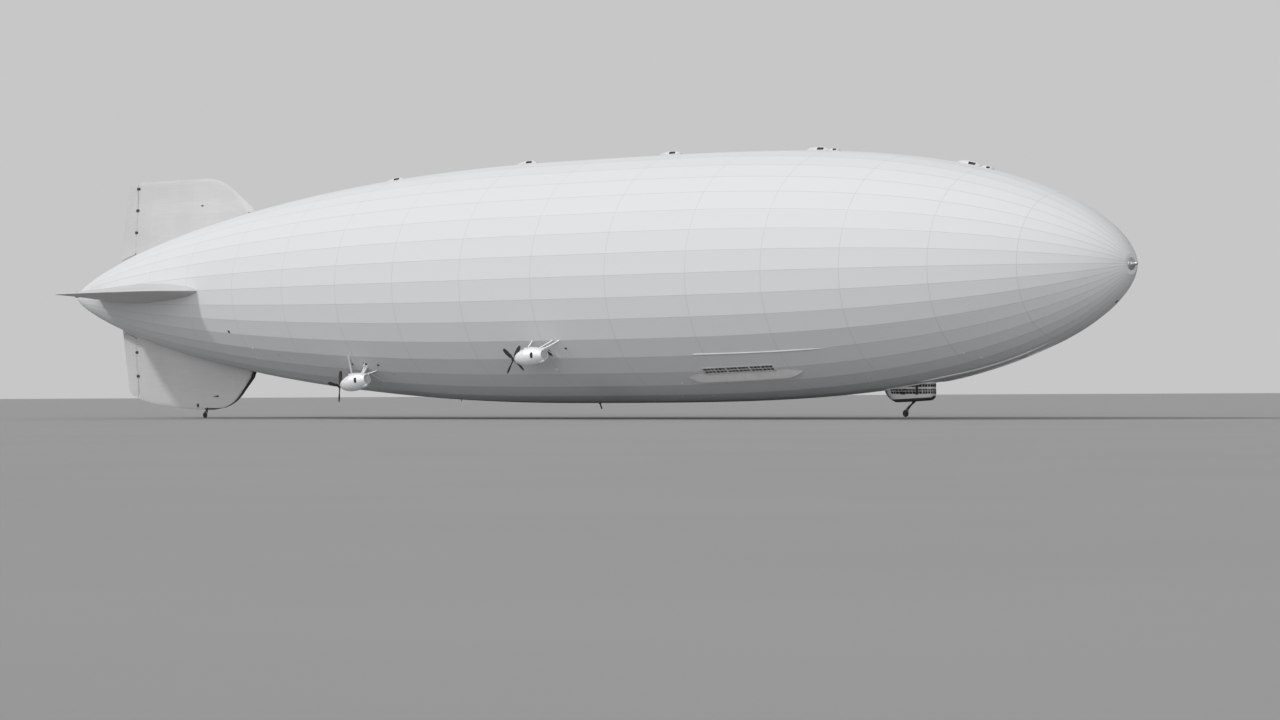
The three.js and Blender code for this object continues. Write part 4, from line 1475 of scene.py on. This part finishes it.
class AIRSHIP_OT_propellers(AirshipOperator):
    """Model the four-bladed wooden propellers with their hubs and shafts"""

    bl_idname = "airship.propellers"
    bl_label = "Propellers"

    def blade(self, steps=9):
        rows = smooth_rows(BLADE, self.sizes.blade_steps)
        reach, chord, thick, _ = rows[0]
        ring = []
        for step in range(2 * steps):
            angle = math.pi * step / steps
            ahead = math.cos(angle)
            full = math.sin(angle) * (0.75 + 0.45 * ahead if ahead < 0 else 1 - 0.25 * ahead)
            ring.append((thick * SHIP * full, chord * SHIP * ahead, reach * SHIP))
        blade = outline("blade", ring)
        rings_up(blade, [(row[0] * SHIP, 0, row[2], row[1]) for row in rows])
        with shaping(blade):
            for row in rows:
                height = row[0] * SHIP
                pick_verts(blade, lambda co: abs(co.z - height) < 1e-5)
                turn = {"orient_axis": "Z", "center_override": (0, 0, height)}
                bpy.ops.transform.rotate(value=math.radians(row[3]), **turn)
        return with_finishes(blade, "propeller_wood", "steel")

    def tip_guard(self, blade):
        """Thin metal over the leading edge and the tip"""
        root, end = BLADE[0][0], BLADE[-1][0]
        guarded_from, tip_from = 0.12, 0.278

        def on_edge(centre, normal):
            reach = min(max(centre.z / SHIP, root), end)
            twist, chord = math.radians(between(BLADE, reach, 3)), between(BLADE, reach, 1) * SHIP
            lead = centre.x * math.sin(twist) + centre.y * math.cos(twist)
            return centre.z > guarded_from and (lead > chord * 0.72 or centre.z > tip_from)

        with shaping(blade, "FACE"):
            pick_faces(blade, on_edge)
            give_slot(1)
            swell(0.0006)

    def hub(self):
        hub = with_finishes(lathe("hub", scaled(SPINNER), 28), "propeller_wood", "steel")
        with shaping(hub, "FACE"):
            pick_faces(hub, lambda centre, normal: abs(centre.x) > 0.019)
            give_slot(1)
        ring = bolts(8, 0.0028, 0.006, 0.0006, (-0.025, 0, 0.0215), lambda a, b: max(a.x, b.x) < 0, 0.5)
        return [hub, *ring]

    def execute(self, context):
        blade = self.blade()
        self.tip_guard(blade)
        blades = [copied(blade, "blade", turned(90 * step, "X")) for step in range(4)]
        remove(blade)
        propeller = joined("propeller", [*self.hub(), *blades])
        for row, side, label, stand in each_car():
            copy = copied(propeller, f"{label}_airscrew", stand @ turned(-side * CARS[row]["clock"], "X"))
            node = f"propeller_{label}"
            finished(copy, replaces=[node], smooth=35, body=node)
        remove(propeller)
        return {"FINISHED"}


class AIRSHIP_OT_struts(AirshipOperator):
    """Model the streamlined struts, their feet and the gangways of the engine cars"""

    bl_idname = "airship.struts"
    bl_label = "Struts"

    def gangway(self, bar, a, b, ahead):
        """A covered ladder: two side rails, rungs between them and a hood over the top"""
        up, nose = upright(a, b, ahead)
        parts = []
        for shift in (-0.024, 0.024):
            parts.append(stretch_bar(bar, a + nose * shift, b + nose * shift, 0.014, 0.02, ahead))
        count = max(3, round((b - a).length / 0.03))
        for step in range(1, count):
            middle = a.lerp(b, step / count)
            parts.append(stretch_bar(bar, middle - nose * 0.026, middle + nose * 0.026, 0.006, 0.006, up))
        back = up.cross(nose) * 0.012
        return [*parts, stretch_bar(bar, a + back, b + back, 0.06, 0.006, ahead)]

    def execute(self, context):
        bar = streamlined_bar("bar")
        foot = lathe("foot", [(-0.1, 0.5), (0.05, 0.5), (0.12, 0.44), (0.16, 0.3)], 20)
        place(foot, turned(-90, "Y"))
        ahead = Vector((1, 0, 0))
        for row, side, label, _ in each_car():
            def on_spar(along):
                return near_car(row, side, along, SPAR["reach"], SPAR["clock"])

            def leg(a, b, radius):
                return stretch_bar(bar, a, b, radius * 0.28, radius * 0.15, ahead)

            table = STRUTS[row]
            ends = [on_spar(along) for along in table["spar"]]
            parts = [stretch_bar(bar, *ends, 0.03, 0.03, Vector((0, side, 0.4)))]
            for along, clock, radius in table["nacelle"]:
                near = near_car(row, side, along, STRUT_INTO_NACELLE, clock)
                parts.append(leg(near, on_spar(along), radius))
            for along, station, below, radius in table["hull"]:
                skin = hull_point(station, below, side, -0.05)
                wide = 0.3 * SHIP
                if radius < GANGWAY["radius"]:
                    parts.append(leg(on_spar(along), skin, radius))
                else:
                    wide = 0.55 * SHIP
                    near = near_car(row, side, along, GANGWAY["reach"], GANGWAY["clock"])
                    parts += self.gangway(bar, near, skin, ahead)
                size = Matrix.Diagonal((wide * 1.4, wide, wide, 1))
                parts.append(copied(foot, "foot", skin_frame(station, below, side) @ size))
            piece = joined(f"{label}_struts", parts)
            finished(piece, "silver_paint", [f"struts_{label}"], 40)
        remove(bar, foot)
        return {"FINISHED"}


# Control car: its rings from the top down, as height, rear station, front station, half width
CAR_RINGS = [
    (-16.4, 197.9, 207.55, 1.2), (-17.62, 197.9, 207.55, 1.2), (-17.7, 197.9, 207.55, 1.2),
    (-18.2, 197.9, 207.55, 1.2), (-18.45, 197.98, 207.55, 1.2), (-18.8, 198.12, 207.55, 1.2),
    (-19.28, 198.4, 207.55, 1.2), (-19.6, 198.7, 207.45, 1.2), (-19.85, 198.95, 207.27, 1.19),
    (-20.05, 199.4, 207.05, 1.17), (-20.2, 199.9, 206.75, 1.12), (-20.3, 200.3, 206.45, 1.05),
]
CAR_HALF = 1.2
CAR_FLOOR = {"rear": (200.6, -20.42), "front": (206.25, -20.17)}
CAR_NOSE = 1.5
CAR_TAIL = 2.2
CAR_MIDDLE = 203.6
PANES = {"first": 199.86, "pitch": 0.68, "count": 9, "lower": (-19.28, -18.45), "upper": (-18.2, -17.7)}
UPPER_FROM = 203.2
# Dark door and vents in the sides of the car: station, height, length, height of the opening. The door
# stands open, and its dark slab is painted shade of the room behind it
CAR_DOORS = [(204.96, -18.75, 0.5, 1.25), (202.25, -19.1, 0.95, 0.5), (202.6, -18.55, 0.35, 0.22)]
# Inside of the cabin, all blocks: station, width, height of the middle, then length, width and height
CABIN = [
    (203, 0, -19.72, 7, 2, 0.08), (200.9, 0, -18.9, 0.06, 2, 1.5), (204.1, 0, -18.9, 0.06, 2, 1.35),
    (202.3, -0.55, -19.35, 1.2, 0.55, 0.7), (202.3, 0.6, -19.3, 1.4, 0.5, 0.8),
    (203.5, 0.55, -19.35, 0.7, 0.5, 0.6), (206.1, 0, -19.3, 0.35, 0.5, 0.8),
    (205.1, 0.75, -19.25, 0.5, 0.3, 0.85), (203.3, -0.7, -18.25, 0.5, 0.3, 0.3),
    (202, 0.7, -18.3, 0.6, 0.3, 0.4),
]
HELMS = [(205.75, 0, -18.9), (204.9, 0.4, -18.9)]
# Side profile of the fender from the hull at the rear, round the floor and up the nose
FENDER = [
    (197.9, -18.45), (198.25, -19.1), (198.95, -19.85), (199.9, -20.3), (200.6, -20.42), (206.25, -20.17),
    (206.9, -20.04), (207.26, -19.84), (207.44, -19.6),
]

# Wheels: station and height of the axle, then of the leg's head on what carries it
WHEELS = {
    "control_car": ((201.8, -22.3), (203.9, -20.1)),
    "tail": ((36.4, -22.6), (37.4, -21.2)),
}
WHEEL = {"radius": 0.55, "wide": 0.34}
FORK = {"inner": 0.23, "thick": 0.06, "lead": 0.35, "above": 0.16}


def car_plan():
    """Outline of the control car from above, with a corner at each edge of a pane"""
    _, rear, front, half = CAR_RINGS[0]
    rear, front = rear + CAR_TAIL, front - CAR_NOSE
    side = [PANES["first"] + PANES["pitch"] * step for step in range(PANES["count"] + 1)]
    side = [station for station in side if station > rear] + [front]

    def end(station, reach, degrees):
        angles = [math.radians(angle) for angle in degrees]
        return [(station + reach * math.cos(angle), half * math.sin(angle)) for angle in angles]

    points = [(station, half) for station in side]
    points += end(front, CAR_NOSE, range(72, -73, -18))
    points += [(station, -half) for station in reversed(side)]
    return points + end(rear, CAR_TAIL, (-90, -105, -120, -140, -160, 180, 160, 140, 120, 105, 90))


def car_form(name):
    """The closed outer form of the control car"""
    form = outline(name, [at(station, y, CAR_RINGS[0][0]) for station, y in car_plan()])
    rings_up(form, [
        (z * SHIP, x_at((rear + front) / 2), front - rear, half) for z, rear, front, half in CAR_RINGS
    ])
    (rear, low), (front, high) = CAR_FLOOR["rear"], CAR_FLOOR["front"]
    middle = x_at((rear + front) / 2)
    sill, floor = PANES["lower"][0] * SHIP, CAR_RINGS[-1][0] * SHIP
    for vert in form.data.vertices:
        share = min(1, max(0, (vert.co.z - sill) / (floor - sill)))
        vert.co.z += share * (high - low) / (front - rear) * (vert.co.x - middle)
    return form


class AIRSHIP_OT_control_car(AirshipOperator):
    """Model the control car with its windows, cabin fittings and fender"""

    bl_idname = "airship.control_car"
    bl_label = "Control car"

    def is_pane(self, centre, normal):
        station, z = centre.x / SHIP + ORIGIN, centre.z / SHIP
        if abs(normal.z) > 0.4 or station < PANES["first"]:
            return False
        beyond_last = station > PANES["first"] + PANES["pitch"] * PANES["count"]
        if beyond_last and abs(centre.y) > 0.99 * CAR_HALF * SHIP:
            return False
        lower, upper = PANES["lower"], PANES["upper"]
        return lower[0] < z < lower[1] or upper[0] < z < upper[1] and station > UPPER_FROM

    def shell(self):
        shell = with_finishes(car_form("control_car_shell"), "car_paint", "seam_tape")
        with shaping(shell, "FACE"):
            pick_faces(shell, self.is_pane)
            bpy.ops.mesh.inset(thickness=self.sizes.frame_wide / 2, use_individual=True)
            bpy.ops.mesh.separate(type="SELECTED")
        panes = next(piece for piece in bpy.context.selected_objects if piece != shell)
        panes.name = "cabin_panes"
        panes.data.materials.clear()
        apply_modifier(shell, "SOLIDIFY", thickness=0.008, offset=-1)
        with shaping(panes, "FACE"):
            select_all()
            bpy.ops.transform.shrink_fatten(value=0.004)
        apply_modifier(panes, "SOLIDIFY", thickness=0.0015, offset=-1)
        boolean(shell, self.belly("under_hull", -0.012))
        return shell, panes

    def belly(self, name, proud):
        """The hull's form over the car, this much larger"""
        return lathe(name, hull_rings(range(192, 217, 2), proud), FACETS)

    def flange(self):
        """The fairing where the car meets the hull: a collar that follows the belly, in pale paint that is
        a painted highlight along its lit edge
        """
        collar = self.belly("car_collar", 0.014)
        column = car_form("column")
        middle = x_at(CAR_MIDDLE)
        place(column, shifted(middle, 0, 0) @ Matrix.Diagonal((1.03, 1.1, 1, 1)) @ shifted(-middle, 0, 0))
        boolean(collar, column, "INTERSECT")
        with shaping(collar, "FACE"):
            pick_faces(collar, lambda centre, normal: normal.z < -0.9 and centre.z < -1.6)
            bpy.ops.mesh.inset(thickness=0.006)
            extrude((0, 0, -0.004))
        return collar

    def cabin(self):
        """Floor, bulkheads, desks and steering wheels inside the cabin"""
        parts = []
        for station, y, z, *size in CABIN:
            block = box("fitting", Vector(size) * SHIP, at(station, y, z))
            parts.append(rounded(block, min(size) * 0.12 * SHIP))
        for helm in HELMS:
            middle = at(*helm)
            rim = {"major_segments": 24, "minor_segments": 8, "rotation": LAID}
            wheel = start("torus", "helm", major_radius=0.045, minor_radius=0.003, location=middle, **rim)
            parts.append(wheel)
            for step in range(4):
                spoke = start("cylinder", "spoke", vertices=8, radius=0.0018, depth=0.088)
                parts.append(place(spoke, Matrix.Translation(middle) @ turned(45 * step, "X")))
        return joined("cabin_fittings", parts)

    def fender(self):
        """Dark fender: a strip up the tail, along the floor and up the nose, and a band round it"""
        line = smooth_path(FENDER, 3)
        strip = plate("fender_strip", offset_path(line, -0.13) + offset_path(line, 0.02)[::-1], 0.6 * SHIP)
        with shaping(strip, "EDGE"):
            pick_edges(strip, lambda a, b: abs(a.y - b.y) < 1e-5 and (a - b).length > 1e-4)
            bevel(0.0015, clamp_overlap=True)
        band = car_form("fender_band")
        with shaping(band, "FACE"):
            cut_across(at(CAR_MIDDLE, 0, -19.97), (0.044, 0, -1), clear_inner=True)
            select_all()
            bpy.ops.transform.shrink_fatten(value=-0.0015)
        apply_modifier(band, "SOLIDIFY", thickness=0.011, offset=1)
        apply_modifier(band, "BEVEL", width=0.004, segments=3, limit_method="ANGLE")
        return joined("car_fender", [strip, band])

    def doors(self):
        """Dark door and vents, let into both sides of the car; the open door's dark slab is painted shade
        """
        parts = []
        for station, z, long, high in CAR_DOORS:
            for side, _ in SIDES:
                slab = rounded_slab("door", long * SHIP, high * SHIP, 0.011, 0.006, 0.0015, 0.003)
                parts.append(place(slab, wall_frame(side, station, CAR_HALF - 0.09, z)))
        return joined("car_doors", parts)

    def execute(self, context):
        shell, panes = self.shell()
        finished(self.doors(), "dark_metal")
        finished(shell, replaces=["control_car"])
        finished(panes, "cabin_glass", ["control_car_glazing"])
        # The collar's pale paint is a painted highlight
        finished(self.flange(), "silver_paint")
        finished(self.cabin(), "dark_metal")
        finished(self.fender(), "dark_rubber", ["control_car_bumper"], 40)
        return {"FINISHED"}


class AIRSHIP_OT_wheels(AirshipOperator):
    """Model the two landing wheels on their legs"""

    bl_idname = "airship.wheels"
    bl_label = "Landing wheels"

    def wheel(self):
        """A tyre on a pressed disc with a hub, lying along Y"""
        radius, half = WHEEL["radius"] * SHIP, WHEEL["wide"] / 2 * SHIP
        turn = self.sizes.tyre_round
        tyre = [(-half * 0.7, radius * 0.6), (-half, radius * 0.72), (-half, radius - turn)]
        for step in range(1, 6):
            angle = math.pi / 2 * step / 5
            rise = turn * math.sqrt(1 - math.cos(angle)) * 0.98
            tyre.append((-half + turn * math.sin(angle), radius - turn + rise))
        tyre += [(-x, r) for x, r in reversed(tyre)]
        rubber = with_finishes(lathe("tyre", [*tyre, tyre[0]], 40, closed=True), "tyre_rubber")
        disc = [
            (-half * 0.72, 0.0105), (-half * 0.72, 0.0135), (-half * 0.35, radius * 0.32),
            (-half * 0.45, radius * 0.55), (-half * 0.75, radius * 0.61),
        ]
        disc += [(-x, r) for x, r in reversed(disc)]
        rim = with_finishes(lathe("rim", [*disc, disc[0]], 40, closed=True), "dark_metal")
        nuts = []
        for side, test in ((1, lambda a, b: min(a.x, b.x) > 0), (-1, lambda a, b: max(a.x, b.x) > 0)):
            nuts += bolts(8, 0.0016, 0.003, 0.0003, (side * half * 0.48, 0, radius * 0.42), test)
        return place(joined("wheel", [*nuts, rim, rubber]), turned(90, "Z"))

    def leg(self, name, axle, head):
        """Fork plates, axle, crown and a tapered leg with a collar"""
        reach = (FORK["inner"] + FORK["thick"]) * SHIP
        crown = (axle[0] + FORK["lead"], axle[1] + WHEEL["radius"] + FORK["above"])
        end = [(reach, 0.008), (reach + 0.003, 0.0065), (reach + 0.004, 0.005)]
        pin = lathe("axle", [(-x, r) for x, r in reversed(end)] + end, 16)
        parts = [place(pin, Matrix.Translation(at(axle[0], 0, axle[1])) @ turned(90, "Z"))]
        half = 0.1
        corners = [(axle[0] + way * half, axle[1] - half) for way in (-1, 1)]
        corners += [(crown[0] + way * half, crown[1]) for way in (1, -1)]
        for side, _ in SIDES:
            cheek = rounded(plate("cheek", corners, FORK["thick"] * SHIP), 0.0015)
            parts.append(place(cheek, shifted(0, side * (FORK["inner"] + FORK["thick"] / 2) * SHIP, 0)))
        bridge = box("crown", (0.026, 2 * reach, 0.012), at(crown[0], 0, crown[1] - 0.04))
        parts.append(rounded(bridge, 0.003, 3))
        low, top = at(crown[0], 0, crown[1]), at(head[0], 0, head[1])
        long = (top - low).length
        leg = lathe("leg", [
            (-0.004, 0.016), (0, 0.018), (long * 0.3, 0.018), (long * 0.32, 0.0145), (long * 0.6, 0.0145),
            (long * 0.64, 0.02), (long, 0.021),
        ], 20)
        aim = (top - low).to_track_quat("X", "Z").to_matrix().to_4x4()
        aim.translation = low
        return joined(name, [*parts, place(leg, aim)])

    def execute(self, context):
        wheel = self.wheel()
        for name, (axle, head) in WHEELS.items():
            node = f"{name}_wheel"
            copy = copied(wheel, f"{name}_tyre", Matrix.Translation(at(axle[0], 0, axle[1])))
            finished(copy, replaces=[node], smooth=35, body=node)
            leg = self.leg(f"{name}_leg", axle, head)
            finished(leg, "dark_metal", [f"{node}_leg"], 35)
        remove(wheel)
        return {"FINISHED"}


class AIRSHIP_OT_engines(AirshipOperator):
    """Finish the engine blocks, whose own shape stays"""

    bl_idname = "airship.engines"
    bl_label = "Engines"

    def execute(self, context):
        for name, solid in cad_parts.items():
            if name.startswith("engine_"):
                solid.data.materials.clear()
                with_finishes(solid, "engine_iron")
        return {"FINISHED"}


# Studio lights: name, direction that the light travels in, strength, spread in degrees
LIGHTS = [("main_light", (0.79, 1, -1.2), 1.6, 5), ("fill_light", (-0.6, 0.75, -0.1), 1.7, 60)]
SKY = {"Color": (0.8, 0.8, 0.8, 1), "Strength": 0.74}
# Camera: where it stands, its right and its view, and its lens
CAMERA = {
    "location": (42.761, -46.020, -1.916), "right": (0.74191, 0.67048, -0.00474),
    "ahead": (-0.67040, 0.74191, 0.0093), "lens": 104.6,
}


class AIRSHIP_OT_stage(AirshipOperator):
    """Make the floor, the lights and the camera"""

    bl_idname = "airship.stage"
    bl_label = "Stage"

    def execute(self, context):
        scene = context.scene
        floor = start("plane", "studio_ground", size=1600, location=(0, 0, FLOOR * SHIP))
        with shaping(floor, "FACE"):
            select_all()
            bpy.ops.mesh.subdivide(number_cuts=7)
        with_finishes(floor, "studio_floor")

        scene.world = bpy.data.worlds.new("studio_air")
        scene.world.use_nodes = True
        for key, value in SKY.items():
            scene.world.node_tree.nodes["Background"].inputs[key].default_value = value
        for name, towards, energy, spread in LIGHTS:
            deselect()
            bpy.ops.object.light_add(type="SUN")
            light = context.object
            light.name = name
            light.rotation_mode = "QUATERNION"
            light.rotation_quaternion = Vector(towards).to_track_quat("-Z", "Y")
            light.data.energy = energy
            light.data.angle = math.radians(spread)

        deselect()
        bpy.ops.object.camera_add(location=CAMERA["location"])
        camera = context.object
        camera.name = "studio_camera"
        right = Vector(CAMERA["right"]).normalized()
        back = -Vector(CAMERA["ahead"]).normalized()
        up = back.cross(right).normalized()
        camera.rotation_mode = "QUATERNION"
        camera.rotation_quaternion = Matrix((right, up, right.cross(up))).transposed().to_quaternion()
        camera.data.sensor_width = 36
        camera.data.lens = CAMERA["lens"]
        camera.data.clip_start = 1
        camera.data.clip_end = 3000
        scene.camera = camera
        scene.view_settings.view_transform = "Standard"
        scene.view_settings.look = "Medium High Contrast"
        scene.view_settings.exposure = -0.25
        return {"FINISHED"}


STEPS = (
    AIRSHIP_OT_finishes,
    AIRSHIP_OT_hull_cover,
    AIRSHIP_OT_hull_trim,
    AIRSHIP_OT_promenade,
    AIRSHIP_OT_nose,
    AIRSHIP_OT_air_hoods,
    AIRSHIP_OT_fins,
    AIRSHIP_OT_fin_fittings,
    AIRSHIP_OT_nacelles,
    AIRSHIP_OT_radiators,
    AIRSHIP_OT_propellers,
    AIRSHIP_OT_struts,
    AIRSHIP_OT_engines,
    AIRSHIP_OT_control_car,
    AIRSHIP_OT_wheels,
    AIRSHIP_OT_stage,
)


class AIRSHIP_PT_panel(bpy.types.Panel):
    """Lists the steps in order, with the values that they read"""

    bl_idname = "AIRSHIP_PT_panel"
    bl_label = "Airship"
    bl_space_type = "VIEW_3D"
    bl_region_type = "UI"
    bl_category = "Airship"

    def draw(self, context):
        layout = self.layout
        for group in (context.scene.airship_sizes, context.scene.airship_shades):
            box = layout.box()
            for name in group.__annotations__:
                box.prop(group, name)
        for step in STEPS:
            layout.operator(step.bl_idname)


CLASSES = (AirshipShades, AirshipSizes, *STEPS, AIRSHIP_PT_panel)


def register():
    for cls in CLASSES:
        bpy.utils.register_class(cls)
    bpy.types.Scene.airship_shades = PointerProperty(type=AirshipShades)
    bpy.types.Scene.airship_sizes = PointerProperty(type=AirshipSizes)


def unregister():
    del bpy.types.Scene.airship_sizes
    del bpy.types.Scene.airship_shades
    for cls in reversed(CLASSES):
        bpy.utils.unregister_class(cls)


def main():
    """Runs every step"""
    register()
    for step in STEPS:
        group, name = step.bl_idname.split(".")
        getattr(getattr(bpy.ops, group), name)()


if __name__ == "__main__":
    main()
